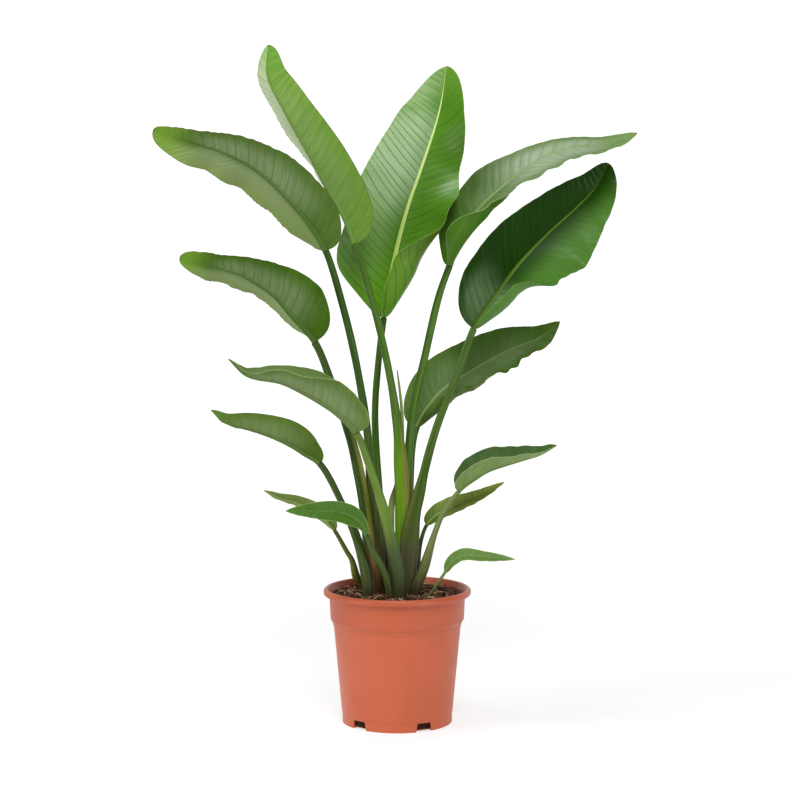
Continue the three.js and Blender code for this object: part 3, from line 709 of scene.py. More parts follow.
BLADE = {
    "stations": 190,
    "small_stations": 90,
    "columns": 22,
    "small_columns": 14,
    "rib_columns": 4,
    "half_thickness": 0.4,
    "edge_half_thickness": 0.16,
    "base_half_width": 3.4,
    "tip_half_width": 1.2,
    "rib_width": 0.8,
    "rib_depth": 0.95,
    "rib_taper": 1.2,
    "rib_tip": 0.18,
    "rib_most": 0.5,  # of the half width
    "channel": 0.12,  # of the rib's depth
    "roll_from": 0.55,
    "bend_steps": 24,
    "base_round": 1.35,
    "end_crowding": 0.55,
    "fade_power": 0.25,  # how soon waves and veins rise from the blade's ends
    "wave_power": 1.5,  # how soon they rise from the midrib
    "ruffle_power": 5,
    "ruffle": 0.6,
    "margin_height": 0.7,
    "margin_waves": (3, 16, 38),  # number, shortest and longest
    "margin_shift": 300,  # keeps the two margins from waving alike
    "vein_height": 0.3,
    "vein_start": (0.25, 0.95),  # the width past the rib in which veins rise, and its end at most
    "vein_waves": (3, 40, 90),
    "vein_drift": 0.25,
    "pitch": 11,
    "slant": 0.55,
    "slant_bow": 500,
    "seed_step": 7.3,
    "sharp": 60,
}


def outline(t, widest_at, blunt):
    pointed = (t / widest_at) ** widest_at * ((1 - t) / (1 - widest_at)) ** (1 - widest_at)
    return np.where(t > widest_at, pointed**blunt, pointed ** BLADE["base_round"])


def slope_at(half, t, s):
    rolled = span(s, BLADE["roll_from"], 1) * along(half.get("roll", [0]), t)
    return np.radians(along(half["fold"], t) + s * along(half.get("curl", [0]), t) + rolled)


def bent_reach(half, t, s):
    """How far a half blade reaches out and up from the midrib at shares s of its width."""
    step = s / BLADE["bend_steps"]
    slopes = [slope_at(half, t, (i + 0.5) * step) for i in range(BLADE["bend_steps"])]
    return step * sum(np.cos(a) for a in slopes), step * sum(np.sin(a) for a in slopes)


class Spine:
    """A blade's stations along its midrib: places, directions and sizes."""

    def __init__(self, leaf):
        b = BLADE
        line, joint = leaf_line(leaf)
        start = joint + JOINT_GAP / line.length
        even = np.linspace(0, 1, b["small_stations" if leaf.get("small") else "stations"])
        round_ends = (1 - np.cos(math.pi * even)) / 2
        t = even + b["end_crowding"] * (round_ends - even)
        self.t = t
        self.inside = np.clip(t, TINY, 1 - TINY)
        self.centre, _, front, side = line.frames(start + (1 - start) * t)
        turn = np.radians(along(leaf["turn"], t))[:, None]
        self.up = np.cos(turn) * front + np.sin(turn) * side
        self.out = np.cos(turn) * side - np.sin(turn) * front
        self.length = t * (1 - start) * line.length
        self.least = b["base_half_width"] + (b["tip_half_width"] - b["base_half_width"]) * t
        self.spread = leaf["half_width"] * outline(self.inside, leaf["widest_at"], leaf.get("blunt", 1))
        radius = leaf["across"][-1]
        self.rib_half = radius * (b["rib_width"] * (1 - t) + b["rib_tip"])
        self.rib_depth = radius * (b["rib_depth"] * (1 - t) ** b["rib_taper"] + b["rib_tip"])
        self.fade = (4 * self.inside * (1 - self.inside)) ** b["fade_power"]


def blade_half(spine, leaf, look, key, sign, waves, number):
    """One half's points above and below, and its three attributes, in columns from midrib to margin."""
    b, t, fade = BLADE, spine.t, spine.fade
    half = leaf[key]
    uneven, margin = waves
    pitch, slant_rate, ruffle = (look.get(k, {}).get(key, b[k]) for k in ("pitch", "slant", "ruffle"))
    width = np.maximum(spine.spread * along(half.get("width", [1]), t), spine.least)
    rib_share = np.minimum(spine.rib_half / width, b["rib_most"])
    inner = np.linspace(0, 1, b["rib_columns"])[:-1]
    outer = np.linspace(0, 1, b["small_columns" if leaf.get("small") else "columns"])
    shares = [rib_share * r for r in inner] + [rib_share + (1 - rib_share) * r for r in outer]
    wave = half.get("wave", [0, 0, 0])
    lift = wave[0] * np.sin(2 * math.pi * (wave[1] * spine.inside + wave[2])) * fade
    past_rib, vein_end = b["vein_start"]
    above, below, place, share, vein = [], [], [], [], []
    for s in shares:
        reach, rise = bent_reach(half, t, s)
        slope = slope_at(half, t, s)[:, None]
        normal = spine.up * np.cos(slope) - sign * spine.out * np.sin(slope)
        distance = width * s
        slant = spine.length - slant_rate * distance - distance**2 / b["slant_bow"]
        phase = slant / pitch + b["vein_drift"] * uneven(slant)
        lamina = span(s, rib_share, np.minimum(rib_share + past_rib, vein_end))
        veins = -b["vein_height"] * look["veins"] * lamina * fade * np.cos(2 * math.pi * phase)
        ruffled = margin(spine.length + b["margin_shift"] * sign)
        edge = b["margin_height"] * ruffle * s ** b["ruffle_power"] * fade * ruffled
        thick = b["half_thickness"] + (b["edge_half_thickness"] - b["half_thickness"]) * s
        rib_place = np.clip(s / rib_share, 0, 1)
        deep = np.maximum(spine.rib_depth - thick, 0) * np.sqrt(np.maximum(1 - rib_place**2, 0))
        channel = b["channel"] * spine.rib_depth * (1 - rib_place**2) ** 2
        raised = (lift * s ** b["wave_power"] + veins + edge)[:, None] * normal
        sideways = sign * (width * reach)[:, None] * spine.out
        point = spine.centre + sideways + (width * rise)[:, None] * spine.up + raised
        above.append(point + (thick - channel)[:, None] * normal)
        below.append(point - thick[:, None] * normal - deep[:, None] * spine.up)
        place.append(np.stack([spine.length / PER_CM, sign * distance / PER_CM, 0 * t], 1))
        share.append(np.stack([t, width - distance, s / rib_share], 1))
        vein.append(np.stack([phase, slant / PER_CM, 0 * t + b["seed_step"] * number], 1))
    return [np.stack(rows, 1) for rows in (above, below, place, share, vein)]


def blade_faces(rows, columns):
    """A blade's upper and lower face, and the thin margin that joins them all round."""
    total = rows * columns
    faces = grid_faces(rows, columns) + grid_faces(rows, columns, total, flip=True)
    rim = [i * columns for i in range(rows - 1, -1, -1)]
    rim += list(range(1, columns))
    rim += [i * columns + columns - 1 for i in range(1, rows)]
    rim += [(rows - 1) * columns + j for j in range(columns - 2, 0, -1)]
    return faces + [(a, a + total, b + total, b) for a, b in zip(rim, rim[1:] + rim[:1])]


def blade(leaf, look, number):
    """A leaf blade as two fine faces and a thin margin, on the same lines as its CAD solid."""
    rng = np.random.default_rng(SEEDS["blade"] + number)
    spine = Spine(leaf)
    waves = ripple(rng, *BLADE["vein_waves"]), ripple(rng, *BLADE["margin_waves"])
    left = blade_half(spine, leaf, look, "left", -1, waves, number)
    right = blade_half(spine, leaf, look, "right", 1, waves, number)
    # The left half's columns run inwards and the right half's outwards, and they share the midrib.
    whole = [np.concatenate([a[:, ::-1], b[:, 1:]], 1) for a, b in zip(left, right)]
    above, below, place, share, vein = whole
    rows, columns = above.shape[:2]
    middle = (columns - 1) // 2
    for face in (above, below):
        face[:, middle] = (face[:, middle - 1] + face[:, middle + 1]) / 2 * 0.5 + face[:, middle] * 0.5
    under = place.copy()
    under[:, :, 2] = 1
    attributes = {"place": (place, under), "share": (share, share), "vein": (vein, vein)}
    attributes = {key: np.concatenate([v.reshape(-1, 3) for v in pair]) for key, pair in attributes.items()}
    verts = np.concatenate([above.reshape(-1, 3), below.reshape(-1, 3)])
    name = leaf["name"] + "_leaf"
    material = leaf_material(name, look)
    holder = add_mesh(name, verts, blade_faces(rows, columns), material, attributes, BLADE["sharp"])
    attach(holder, "root")
    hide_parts(leaf["name"] + "_blade")


# ---------- stalks ----------

STALK = {
    "stations": 110,
    "small_stations": 60,
    "sides": 36,
    "small_sides": 24,
    "groove_depth": 0.22,  # of the half width
    "groove_width": 0.42,  # radians
    "groove_start": (0.2, 0.5),  # shares of the stalk's length between which the groove deepens
    "shoot_groove_turn": 40,  # degrees
    "growth": 0.02,
    "growth_waves": (3, 60, 160),
    "clear_rounds": 2,
    "end_reach": 2,
    "clasped": 0.05,  # a point moved further than this clasps another stalk
    "clasp_reach": 30,
    "seed_step": 3.1,
}
standing = []


class Rod:
    """A stalk's cross-sections along its line, as its CAD solid has them."""

    def __init__(self, line, end, across, through, stations):
        self.t = np.linspace(0, 1, stations)
        self.centre, self.tangent, self.front, self.side = line.frames(self.t * end)
        self.across = along(across, self.t)
        self.through = along(through, self.t)
        self.height = self.t * end * line.length

    def clear(self, points, start):
        """Moves points out of this stalk, towards the side where they belong."""
        moved = points.copy()
        for i, p in enumerate(points):
            gaps = self.centre - p
            along_gap = np.abs(np.einsum("nj,nj->n", gaps, self.tangent))
            k = int(np.argmin(np.linalg.norm(gaps, axis=1) + along_gap))
            if k in (0, len(self.t) - 1) and along_gap[k] > STALK["end_reach"]:
                continue
            offset = p - self.centre[k]
            towards = start[i] - self.centre[k]
            x, y = offset @ self.side[k], offset @ self.front[k]
            dx, dy = towards @ self.side[k], towards @ self.front[k]
            size = math.hypot(dx, dy)
            if size < TINY / 100:
                continue
            dx, dy = dx / size, dy / size
            a, b = self.across[k] + GAP, self.through[k] + GAP
            # Where the way out crosses the cross-section's ellipse: the roots of a quadratic equation.
            qa = (dx / a) ** 2 + (dy / b) ** 2
            qb = x * dx / a**2 + y * dy / b**2
            qc = (x / a) ** 2 + (y / b) ** 2 - 1
            root = qb * qb - qa * qc
            if root <= 0:
                continue
            exit_at = (-qb + math.sqrt(root)) / qa
            if exit_at > 0:
                moved[i] = p + exit_at * (dx * self.side[k] + dy * self.front[k])
        return moved


def clasp_distance(clasping, rod, angle):
    """How far each point of a stalk is, around it, from where it clasps another stalk."""
    between = np.abs((angle[:, None] - angle[None, :] + math.pi) % (2 * math.pi) - math.pi)
    nearest = np.where(clasping[:, None, :], between[None], STALK["clasp_reach"]).min(2)
    return np.minimum(nearest * rod.across[:, None], STALK["clasp_reach"])


def stalk(leaf, look, number):
    line, joint = leaf_line(leaf)
    stations = STALK["small_stations" if leaf.get("small") else "stations"]
    rod = Rod(line, joint, leaf["across"], leaf["through"], stations)
    name = leaf["name"]
    material = stalk_material(name + "_stalk", look)
    shoot(name + "_petiole", name + "_stalk", rod, leaf["turn"][0], number, material)


def leafless(spec, look, number):
    rod = Rod(Line(spec["path"]), 1, spec["across"], spec["through"], STALK["small_stations"])
    name = spec["name"]
    shoot(name + "_detail", name, rod, STALK["shoot_groove_turn"], number, sheath_material(name, look))


def shoot(name, node, rod, groove_turn, number, material):
    """A channelled rod whose foot clasps the stalks that stand inside it."""
    rng = np.random.default_rng(SEEDS["stalk"] + number)
    sides = STALK["small_sides" if len(rod.t) <= STALK["small_stations"] else "sides"]
    angle = 2 * math.pi * np.arange(sides) / sides
    grown = ripple(rng, *STALK["growth_waves"])
    facing = np.cos(angle[None, :] - (math.pi / 2 - math.radians(groove_turn)))
    groove = np.exp(-((np.arccos(np.clip(facing, -1, 1)) / STALK["groove_width"]) ** 2))
    deepening = span(rod.t, *STALK["groove_start"])[:, None]
    size = 1 - STALK["groove_depth"] * deepening * groove + STALK["growth"] * grown(rod.height)[:, None]
    x = rod.across[:, None] * size * np.cos(angle)
    y = rod.through[:, None] * size * np.sin(angle)
    points = rod.centre[:, None] + x[:, :, None] * rod.side[:, None] + y[:, :, None] * rod.front[:, None]
    whole = points.reshape(-1, 3)
    clear = whole
    start = np.repeat(rod.centre, sides, axis=0)
    for _ in range(STALK["clear_rounds"]):
        for other in standing:
            clear = other.clear(clear, start)
    standing.append(rod)

    clasping = np.linalg.norm(clear - whole, axis=1).reshape(-1, sides) > STALK["clasped"]
    height = np.repeat(clear.reshape(-1, sides, 3)[:, :, 2].mean(1)[:, None], sides, 1) / PER_CM
    around = np.broadcast_to(np.cos(angle), height.shape)
    place = np.stack([height, around, clasp_distance(clasping, rod, angle)], 2)
    seed = 0 * height + STALK["seed_step"] * number
    share = np.stack([np.repeat(rod.t[:, None], sides, 1), groove * deepening, seed], 2)
    attributes = {}
    for key, values in (("place", place), ("share", share)):
        listed = values.reshape(-1, 3)
        attributes[key] = np.vstack([listed, listed[0], listed[-1]])
    verts = np.vstack([clear, clear[:sides].mean(0), clear[-sides:].mean(0)])
    holder = add_mesh(name, verts, tube_faces(len(rod.t), sides), material, attributes)
    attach(holder, "root")
    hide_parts(node)


# ---------- pot ----------

POT = {
    "height": 181, "wall": 2.2, "floor": 3, "base_radius": 74, "foot_height": 12.5, "foot_step": 0.7,
    "body_top_height": 131, "body_top_radius": 86.3, "band_height": 3, "band_step": 0.8,
    "collar_height": 140, "collar_radius": 89.8, "lip_bottom": 172.5, "lip_neck_radius": 91.4,
    "lip_radius": 99, "lip_round": 2.5, "mouth_radius": 92.8, "edge_round": 1.5,
    "band_flare": 0.3, "collar_flare": (1.4, 3), "sides": 192, "bend": 0.4, "bend_most": 0.45,
    "bend_steps": 4, "sharp": 35,
}
NOTCH = {"count": 5, "first": -133, "height": 11.5, "bottom_width": 24, "top_width": 19, "depth": 9}
HUB = 0.5  # the innermost ring of a turned shape, round its middle point


def rounded(points):
    """The pot's line with each corner cut by a small arc, at most a share of the corner's sides."""
    made = [points[0]]
    for before, corner, after in zip(points, points[1:], points[2:]):
        before, corner, after = (np.array(p, float) for p in (before, corner, after))
        back, ahead = before - corner, after - corner
        sides = np.linalg.norm(back), np.linalg.norm(ahead)
        reach = min(POT["bend"], *(POT["bend_most"] * side for side in sides))
        a = corner + back / sides[0] * reach
        b = corner + ahead / sides[1] * reach
        for i in range(POT["bend_steps"] + 1):
            w = i / POT["bend_steps"]
            made.append(tuple((1 - w) ** 2 * a + 2 * w * (1 - w) * corner + w * w * b))
    return made + [points[-1]]


def inner_wall():
    p = POT
    return [
        (p["base_radius"] - p["wall"], p["floor"]),
        (p["body_top_radius"] - p["band_step"] - p["wall"], p["body_top_height"]),
        (p["collar_radius"] - p["wall"], p["collar_height"]),
        (p["lip_neck_radius"] - p["wall"], p["lip_bottom"]),
    ]


def pot_profile():
    p = POT
    band_top = p["body_top_height"] + p["band_height"]
    outside = [
        (HUB, 0),
        (p["base_radius"], 0),
        (p["base_radius"], p["foot_height"]),
        (p["base_radius"] + p["foot_step"], p["foot_height"] + p["foot_step"]),
        (p["body_top_radius"] - p["band_step"], p["body_top_height"]),
        (p["body_top_radius"], p["body_top_height"] + p["band_step"]),
        (p["body_top_radius"] + p["band_flare"], band_top),
        (p["body_top_radius"] + p["collar_flare"][0], band_top + p["collar_flare"][1]),
        (p["collar_radius"], p["collar_height"]),
        (p["lip_neck_radius"], p["lip_bottom"]),
        (p["lip_radius"] - p["edge_round"], p["lip_bottom"]),
        (p["lip_radius"], p["lip_bottom"] + p["edge_round"]),
        (p["lip_radius"], p["height"] - p["lip_round"]),
        (p["lip_radius"] - p["lip_round"], p["height"]),
        (p["mouth_radius"] + p["edge_round"], p["height"]),
        (p["mouth_radius"], p["height"] - p["edge_round"]),
    ]
    return rounded([*outside, *reversed(inner_wall()), (HUB, p["floor"])])


def lathe(profile, sides):
    angle = 2 * math.pi * np.arange(sides) / sides
    ring = np.stack([np.cos(angle), np.sin(angle)], 1)
    return np.vstack([np.column_stack([r * ring, np.full(sides, z)]) for r, z in profile])


def cut(holder, cutters):
    """Takes the cutters out of a mesh, and removes them."""
    for cutter in cutters:
        change = holder.modifiers.new("cut", "BOOLEAN")
        change.operation = "DIFFERENCE"
        change.solver = "EXACT"
        change.object = cutter
    bpy.context.view_layer.update()
    graph = bpy.context.evaluated_depsgraph_get()
    made = bpy.data.meshes.new_from_object(holder.evaluated_get(graph))
    holder.modifiers.clear()
    holder.data = made
    for cutter in cutters:
        bpy.data.objects.remove(cutter)


def notch(degrees):
    """The cutter for a drainage notch through the foot, wider at the bottom."""
    n = NOTCH
    below = 1
    wide, narrow = n["bottom_width"] / 2, n["top_width"] / 2
    shape = [(-wide, -below), (wide, -below), (narrow, n["height"]), (-narrow, n["height"])]
    turn = math.radians(degrees)
    outward = np.array([math.cos(turn), math.sin(turn), 0])
    sideways = np.array([-math.sin(turn), math.cos(turn), 0])
    verts = []
    for reach in (POT["base_radius"] - n["depth"], POT["base_radius"] + n["depth"]):
        verts += [reach * outward + x * sideways + np.array([0, 0, z]) for x, z in shape]
    faces = [(3, 2, 1, 0), (4, 5, 6, 7)] + [(i, (i + 1) % 4, (i + 1) % 4 + 4, i + 4) for i in range(4)]
    mesh = bpy.data.meshes.new("notch")
    mesh.from_pydata((np.array(verts) * MM).tolist(), [], faces)
    holder = bpy.data.objects.new("notch", mesh)
    bpy.context.scene.collection.objects.link(holder)
    return holder


def pot():
    """The turned pot with its notches. The cut drops attributes, so the material's are set after it."""
    profile = pot_profile()
    verts = np.vstack([lathe(profile, POT["sides"]), [0, 0, 0], [0, 0, POT["floor"]]])
    faces = tube_faces(len(profile), POT["sides"])
    holder = add_mesh("nursery_pot", verts, faces, pot_material(), {}, POT["sharp"])
    cut(holder, [notch(NOTCH["first"] + 360 / NOTCH["count"] * i) for i in range(NOTCH["count"])])
    points = np.array([v.co[:] for v in holder.data.vertices]) / MM
    radius, height = np.linalg.norm(points[:, :2], axis=1), points[:, 2]
    wall = np.array([*inner_wall(), (POT["mouth_radius"], POT["height"])])
    inside = radius < np.interp(height, wall[:, 1], wall[:, 0]) + POT["wall"] / 2
    inside = inside & (height > POT["floor"] / 2)
    set_attribute(holder.data, "share", np.stack([height / PER_CM, inside, 0 * height], 1))
    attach(holder, "root")
    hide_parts("pot")


# ---------- soil ----------

SOIL = {
    "top": 172, "edge_drop": 1.0, "hump": 1.6, "second_hump": 1.0, "hump_lengths": (11, 13, 9),
    "sides": 180, "rings": 60, "fade_rings": 4, "roughness": 0.54, "sharp": 180,
    "waves": ((6, 0.5), (4, 0.35), (2.6, 0.25), (1.8, 0.2)), "waves_each": 7, "most_phase": 6.28,
}
# "even" under 1 keeps litter off the middle, and "dark" over 1 makes more of it dark than pale.
CRUMBS = {
    "count": 620, "spread": 84, "inner": 0.02, "size": (0.8, 2.6), "width": (0.5, 1), "height": (0.35, 0.7),
    "lumps": 0.25, "lift": 0.3, "dark": 3,
}
FIBRES = {
    "count": 480, "spread": 84, "inner": 0.01, "length": (8, 27), "thick": (0.14, 0.4), "bend": (-0.7, 0.7),
    "arch": (0.3, 5), "points": 9, "sides": 5, "limit": 86, "lift": 0.6, "thin_end": 0.35,
    "thin_from": 0.05, "dark": 2.5,
}
LITTER_SHARP = 70


def soil_height(x, y):
    a, b, c = SOIL["hump_lengths"]
    hump = SOIL["hump"] * np.sin(x / a) * np.cos(y / b)
    return SOIL["top"] + hump + SOIL["second_hump"] * np.sin((x + 2 * y) / c)


def soil_edge():
    """The soil's side against the pot's wall, and its radius at the top."""
    wall = [(r - GAP, z) for r, z in inner_wall()]
    wall[0] = (wall[0][0], wall[0][1] + GAP)
    share = (SOIL["top"] - wall[2][1]) / (wall[3][1] - wall[2][1])
    return wall[:3], wall[2][0] + share * (wall[3][0] - wall[2][0])


def soil():
    """The compost that fills the pot, with a fine uneven surface."""
    s = SOIL
    rng = np.random.default_rng(SEEDS["soil"])
    wall, edge_radius = soil_edge()
    sides, edge_height = s["sides"], s["top"] - s["edge_drop"]
    waves = [
        (*rng.normal(0, 1 / length, 2), rng.uniform(0, s["most_phase"]), weight)
        for length, weight in s["waves"]
        for _ in range(s["waves_each"])
    ]
    rings = [lathe([(HUB, wall[0][1]), *wall, (edge_radius, edge_height)], sides)]
    angle = 2 * math.pi * np.arange(sides) / sides
    for i in range(1, s["rings"]):
        radius = edge_radius * (1 - i / s["rings"])
        x, y = radius * np.cos(angle), radius * np.sin(angle)
        rough = sum(w * np.sin(2 * math.pi * (x * a + y * b) + p) for a, b, p, w in waves)
        inner = min(1, i / s["fade_rings"])
        z = soil_height(x, y) * inner + edge_height * (1 - inner)
        rings.append(np.stack([x, y, z + s["roughness"] * inner * rough], 1))
    verts = np.vstack(rings)
    faces = tube_faces(len(verts) // sides, sides)
    verts = np.vstack([verts, [0, 0, wall[0][1]], [0, 0, float(soil_height(0, 0))]])
    holder = add_mesh("compost", verts, faces, soil_material(), {}, s["sharp"])
    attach(holder, "root")
    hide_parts("soil")


def soil_litter():
    """Crumbs of bark and coir, and loose coir fibres, scattered over the soil."""
    rng = np.random.default_rng(SEEDS["litter"])
    crumbs(rng)
    fibres(rng)


def crumbs(rng):
    c = CRUMBS
    ball, triangles = small_ball()
    verts, faces, tones = [], [], []
    for number in range(c["count"]):
        place = scattered(rng, c)
        size = rng.uniform(*c["size"]) * np.array([1, rng.uniform(*c["width"]), rng.uniform(*c["height"])])
        lumpy = ball * (1 + c["lumps"] * rng.normal(0, 1, (len(ball), 1)))
        turn = rng.uniform(0, 2 * math.pi)
        x = lumpy[:, 0] * size[0]
        y = lumpy[:, 1] * size[1]
        z = soil_height(*place) + c["lift"] * size[2] + lumpy[:, 2] * size[2]
        turned_x = x * math.cos(turn) - y * math.sin(turn)
        turned_y = x * math.sin(turn) + y * math.cos(turn)
        verts.append(np.stack([place[0] + turned_x, place[1] + turned_y, z], 1))
        faces += [tuple(number * len(ball) + i for i in triangle) for triangle in triangles]
        tones += [rng.uniform(0, 1) ** c["dark"]] * len(ball)
    material = litter_material("crumbs", srgb(32, 17, 8), srgb(132, 72, 36))
    scatter("soil_crumbs", verts, faces, tones, material)


def fibres(rng):
    f = FIBRES
    count, sides = f["points"], f["sides"]
    t = np.linspace(0, 1, count)
    ring = 2 * math.pi * np.arange(sides) / sides
    verts, faces, tones = [], [], []
    for number in range(f["count"]):
        place = scattered(rng, f)
        heading = rng.uniform(0, 2 * math.pi)
        length, thick = rng.uniform(*f["length"]), rng.uniform(*f["thick"])
        bend, arch = rng.uniform(*f["bend"]), rng.uniform(*f["arch"])
        turn = heading + bend * t
        step = length / (count - 1) * np.stack([np.cos(turn), np.sin(turn)], 1)
        track = place + np.cumsum(step, 0)
        track *= np.minimum(1, f["limit"] / np.maximum(np.linalg.norm(track, axis=1), 1))[:, None]
        z = soil_height(track[:, 0], track[:, 1]) + f["lift"] + arch * np.sin(math.pi * t) ** 2
        line = np.column_stack([track, z])
        tangent = unit(np.gradient(line, axis=0))
        side = unit(np.cross(tangent, [0, 0, 1.0]))
        over = np.cross(side, tangent)
        swell = np.sin(math.pi * np.clip(t, f["thin_from"], 1 - f["thin_from"]))
        girth = thick * (f["thin_end"] + (1 - f["thin_end"]) * swell)
        cross = np.cos(ring)[None, :, None] * side[:, None] + np.sin(ring)[None, :, None] * over[:, None]
        verts.append((line[:, None] + girth[:, None, None] * cross).reshape(-1, 3))
        first, last = number * count * sides, (number * count + count - 1) * sides
        faces += grid_faces(count, sides, first, closed=True)
        faces.append(tuple(first + j for j in range(sides - 1, -1, -1)))
        faces.append(tuple(last + j for j in range(sides)))
        tones += [rng.uniform(0, 1) ** f["dark"]] * (count * sides)
    material = litter_material("fibres", srgb(92, 50, 26), srgb(252, 216, 172))
    scatter("coir_fibres", verts, faces, tones, material)


def scattered(rng, litter):
    """A random place on the soil, spread evenly over its area."""
    radius = litter["spread"] * math.sqrt(rng.uniform(litter["inner"], 1))
    angle = rng.uniform(0, 2 * math.pi)
    return radius * np.array([math.cos(angle), math.sin(angle)])


def small_ball():
    """The points and faces of a small round ball."""
    made = bmesh.new()
    bmesh.ops.create_icosphere(made, subdivisions=2, radius=1)
    points = np.array([v.co[:] for v in made.verts])
    faces = [tuple(v.index for v in f.verts) for f in made.faces]
    made.free()
    return points, faces


def scatter(name, verts, faces, tones, material):
    tones = np.array(tones)
    attributes = {"share": np.stack([tones, 0 * tones, 0 * tones], 1)}
    holder = add_mesh(name, np.vstack(verts), faces, material, attributes, LITTER_SHARP)
    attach(holder, "root")


# ---------- looks ----------

FOOT = srgb(66, 60, 38)
ROOT = srgb(50, 36, 24)
RIB = srgb(166, 192, 92)
PALE_EDGE = srgb(170, 184, 118)
BROWN_EDGE = srgb(98, 78, 56)
DRY_POINT = srgb(100, 88, 48)
MID_GREEN = srgb(78, 118, 40)
VEIN_DARK = srgb(46, 80, 24)
# A pale tone for the waxy bloom, which is also a painted sheen.
WAXY_BLOOM_AND_SHEEN = srgb(142, 158, 118)
ORANGE_RIM = srgb(126, 62, 30)
BROWN_RIM = srgb(122, 66, 40)
# Painted shade on the side of a stalk away from the key lamp.
SHADED_FLANK = srgb(66, 62, 34)
PALE_STREAK = srgb(150, 166, 84)

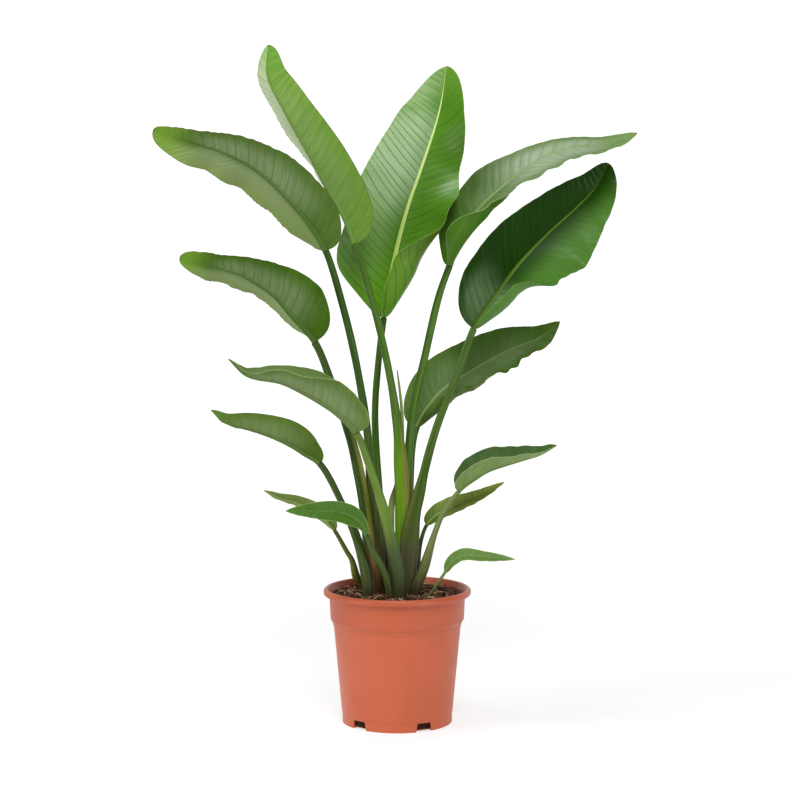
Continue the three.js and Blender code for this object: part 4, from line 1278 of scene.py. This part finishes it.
# Blade tones and measures come first, then the stalk's. side is a painted sheen on one half: how fast its
# tone comes in across the blade, the tone and its strength. The waxy bloom, also a painted sheen, is a tone,
# its strength, and the shares of the length between which it lies. low is the share up to which the base is
# toned, the tone and its strength. pitch, slant and ruffle are given for a half. Sheath and foot tops are
# heights in centimetres. The flank tone is a tone, its strength and the side that it
# is on: brown margins, and on lower_left's stalk a painted highlight; stalks without one get painted shade
# on the right.
LOOKS = {
    "tall_left": dict(
        upper=MID_GREEN, under=srgb(112, 152, 56), vein=srgb(72, 110, 34), under_rib=srgb(100, 136, 58),
        edge=BROWN_EDGE, tip=srgb(98, 148, 50), gloss=0.42, veins=1.2, lines=0.35, streaks=0.15,
        pitch={"left": 14, "right": 12}, side=(3, srgb(200, 212, 176), 0.85),
        bloom_and_sheen=(WAXY_BLOOM_AND_SHEEN, 0.25, 0.2, 0.88),
        stalk=srgb(76, 112, 32), sheath=srgb(92, 134, 12), sheath_top=38, foot_top=21, rim=ORANGE_RIM,
        flank_tone_and_painted_light=(srgb(120, 100, 42), 0.8, 1),
    ),
    "arching_right": dict(
        upper=srgb(86, 110, 60), upper_dark=srgb(74, 102, 46), under=srgb(58, 102, 0),
        vein=srgb(128, 146, 108), rib=srgb(112, 140, 76), edge=PALE_EDGE, tip=srgb(92, 124, 62),
        gloss=0.38, shine=0.24, veins=0.8, lines=0.15, streaks=0.2, pitch={"left": 16, "right": 14},
        ruffle={"right": 1.2, "left": 0.3}, bloom_and_sheen=(srgb(176, 184, 166), 0.45, 0.48, 0.94),
        low=(0.4, srgb(72, 120, 14), 0.9),
        stalk=srgb(76, 114, 32), sheath=srgb(76, 110, 22), rim=ORANGE_RIM,
    ),
    "broad_right": dict(
        upper=srgb(28, 66, 2), upper_dark=srgb(20, 54, 0), under=srgb(96, 116, 74), vein=srgb(60, 98, 36),
        rib=srgb(88, 118, 34), edge=srgb(120, 146, 70), tip=srgb(32, 68, 8), gloss=0.26, shine=0.07,
        veins=0.5, lines=0.18, streaks=0.2, bands=0.15, ruffle={"right": 2.0},
        side=(0.25, srgb(84, 130, 52), 0.85), bloom_and_sheen=(srgb(146, 178, 128), 0.55, 0.05, 0.32),
        stalk=srgb(76, 106, 36), sheath=srgb(60, 86, 16), sheath_top=34, foot=srgb(74, 68, 46),
        foot_top=26, rim=ORANGE_RIM, flank_tone_and_painted_light=(srgb(96, 98, 44), 0.4, -1),
    ),
    "lower_left": dict(
        upper=srgb(66, 104, 34), under=srgb(96, 124, 54), vein=srgb(84, 108, 52),
        under_rib=srgb(92, 120, 56), edge=srgb(170, 184, 110), gloss=0.45, veins=0.5, lines=0.15,
        side=(1.5, srgb(124, 144, 86), 0.5), bloom_and_sheen=(WAXY_BLOOM_AND_SHEEN, 0.5, 0.1, 0.88),
        stalk=srgb(102, 130, 50), sheath=srgb(104, 136, 46), sheath_top=31, foot=srgb(58, 66, 46),
        foot_top=27, rim=srgb(110, 76, 52), flank_tone_and_painted_light=(srgb(146, 164, 80), 0.5, -1),
    ),
    "broad_left": dict(
        upper=MID_GREEN, under=srgb(84, 116, 42), vein=srgb(62, 90, 34), under_rib=srgb(74, 108, 40),
        edge=BROWN_EDGE, tip=srgb(122, 164, 46), gloss=0.42, shine=0.12, veins=1.6, lines=0.4,
        streaks=0.12, pitch={"left": 13, "right": 8}, slant={"right": 1.3},
        side=(0.7, srgb(150, 172, 102), 0.7), bloom_and_sheen=(WAXY_BLOOM_AND_SHEEN, 0.65, 0.25, 0.88),
        stalk=srgb(54, 88, 22), sheath=srgb(66, 82, 24), foot=srgb(120, 86, 50), foot_top=24,
    ),
    "broad_centre": dict(
        upper=srgb(76, 124, 20), upper_dark=srgb(62, 108, 10), under=srgb(84, 118, 18), vein=VEIN_DARK,
        rib=srgb(184, 208, 112), edge=srgb(150, 164, 92), tip=srgb(84, 124, 34), gloss=0.27, shine=0.34,
        veins=0.5, lines=0.7, streaks=0.15, bands=0.2, side=(-0.35, srgb(126, 158, 100), 0.5),
        low=(0.35, srgb(92, 148, 2), 0.9),
        stalk=srgb(56, 94, 4), sheath=srgb(62, 92, 16), foot=srgb(60, 44, 30),
    ),
    "middle_left": dict(
        upper=MID_GREEN, under=srgb(68, 104, 14), vein=srgb(56, 84, 28), under_rib=srgb(72, 102, 36),
        edge=BROWN_EDGE, tip=srgb(116, 160, 42), gloss=0.42, shine=0.12, veins=1.5, lines=0.4,
        streaks=0.12, pitch={"left": 12, "right": 7}, slant={"right": 1.3},
        side=(0.7, srgb(144, 164, 100), 0.7), bloom_and_sheen=(WAXY_BLOOM_AND_SHEEN, 0.5, 0.2, 0.88),
        stalk=srgb(56, 86, 26), sheath=srgb(44, 72, 16), sheath_top=40, foot=srgb(116, 84, 50),
        foot_top=24, flank_tone_and_painted_light=(srgb(140, 136, 50), 0.7, 1),
    ),
    "middle_right": dict(
        upper=srgb(70, 106, 26), upper_dark=srgb(66, 98, 26), under=srgb(80, 110, 34),
        vein=srgb(84, 108, 58), rib=srgb(116, 140, 66), edge=BROWN_EDGE, tip=srgb(74, 106, 30),
        gloss=0.38, veins=0.6, lines=0.3, streaks=0.2, bands=0.2, ruffle={"right": 2.0},
        bloom_and_sheen=(srgb(104, 122, 84), 0.4, 0.1, 0.88),
        stalk=srgb(62, 98, 24),
    ),
    "low_left": dict(
        upper=MID_GREEN, under=srgb(92, 122, 40), vein=srgb(96, 122, 60), under_rib=srgb(84, 110, 48),
        edge=BROWN_EDGE, gloss=0.45, veins=0.5, lines=0.15, bloom_and_sheen=(WAXY_BLOOM_AND_SHEEN, 0.35, 0.2, 0.88),
        low=(0.5, srgb(64, 92, 14), 0.85),
        stalk=srgb(54, 78, 34), sheath=srgb(54, 78, 24), foot_top=20,
    ),
    "lower_right": dict(
        upper=srgb(62, 92, 40), under=srgb(120, 146, 76), vein=srgb(60, 90, 40), rib=srgb(110, 136, 70),
        under_rib=srgb(104, 130, 68), edge=srgb(168, 180, 120), gloss=0.42, veins=0.5, lines=0.2,
        ruffle={"left": 1.4},
        stalk=srgb(122, 136, 84), sheath=srgb(108, 124, 68), foot_top=21,
    ),
    "low_right": dict(
        upper=srgb(136, 154, 66), under=srgb(136, 152, 70), vein=srgb(56, 78, 28), rib=srgb(136, 156, 70),
        gloss=0.45, veins=0.5, lines=0.25, low=(0.45, srgb(66, 104, 22), 0.8),
        stalk=srgb(66, 84, 40),
    ),
    "small_left_back": dict(
        upper=srgb(120, 144, 78), under=srgb(120, 144, 70), vein=srgb(100, 124, 64), gloss=0.45,
        veins=0.4, lines=0.2,
        stalk=srgb(76, 100, 46), sheath=srgb(116, 120, 40), sheath_top=24, foot_top=17,
        rim=srgb(170, 110, 40),
    ),
    "small_left_front": dict(
        upper=srgb(76, 118, 36), under=srgb(96, 124, 60), vein=srgb(58, 90, 34), rib=srgb(84, 120, 48),
        edge=srgb(150, 170, 100), gloss=0.42, veins=0.4, lines=0.2,
        stalk=srgb(58, 82, 38), sheath=srgb(66, 92, 38), foot_top=18,
    ),
    "seedling_right": dict(
        upper=srgb(96, 128, 60), under=srgb(104, 134, 70), vein=srgb(70, 104, 44), rib=srgb(106, 138, 68),
        gloss=0.45, veins=0.4, lines=0.2,
        stalk=srgb(104, 138, 60), sheath=srgb(118, 146, 76), foot=srgb(120, 140, 80),
    ),
    "rolled_leaf": dict(stalk=srgb(128, 148, 74), tip=srgb(112, 92, 50)),
    "short_sheath": dict(stalk=srgb(140, 160, 88), tip=srgb(104, 84, 50)),
}


# ---------- assembly ----------

FIRST_SHOOT = 20  # the shoots' number, which seeds their random draws

for number, leaf in enumerate(LEAVES):
    stalk(leaf, LOOKS[leaf["name"]], number)
    blade(leaf, LOOKS[leaf["name"]], number)
for number, spec in enumerate(SHOOTS, FIRST_SHOOT):
    leafless(spec, LOOKS[spec["name"]], number)
pot()
soil()
soil_litter()
floor()
world()
for values in LIGHTS:
    light(*values)
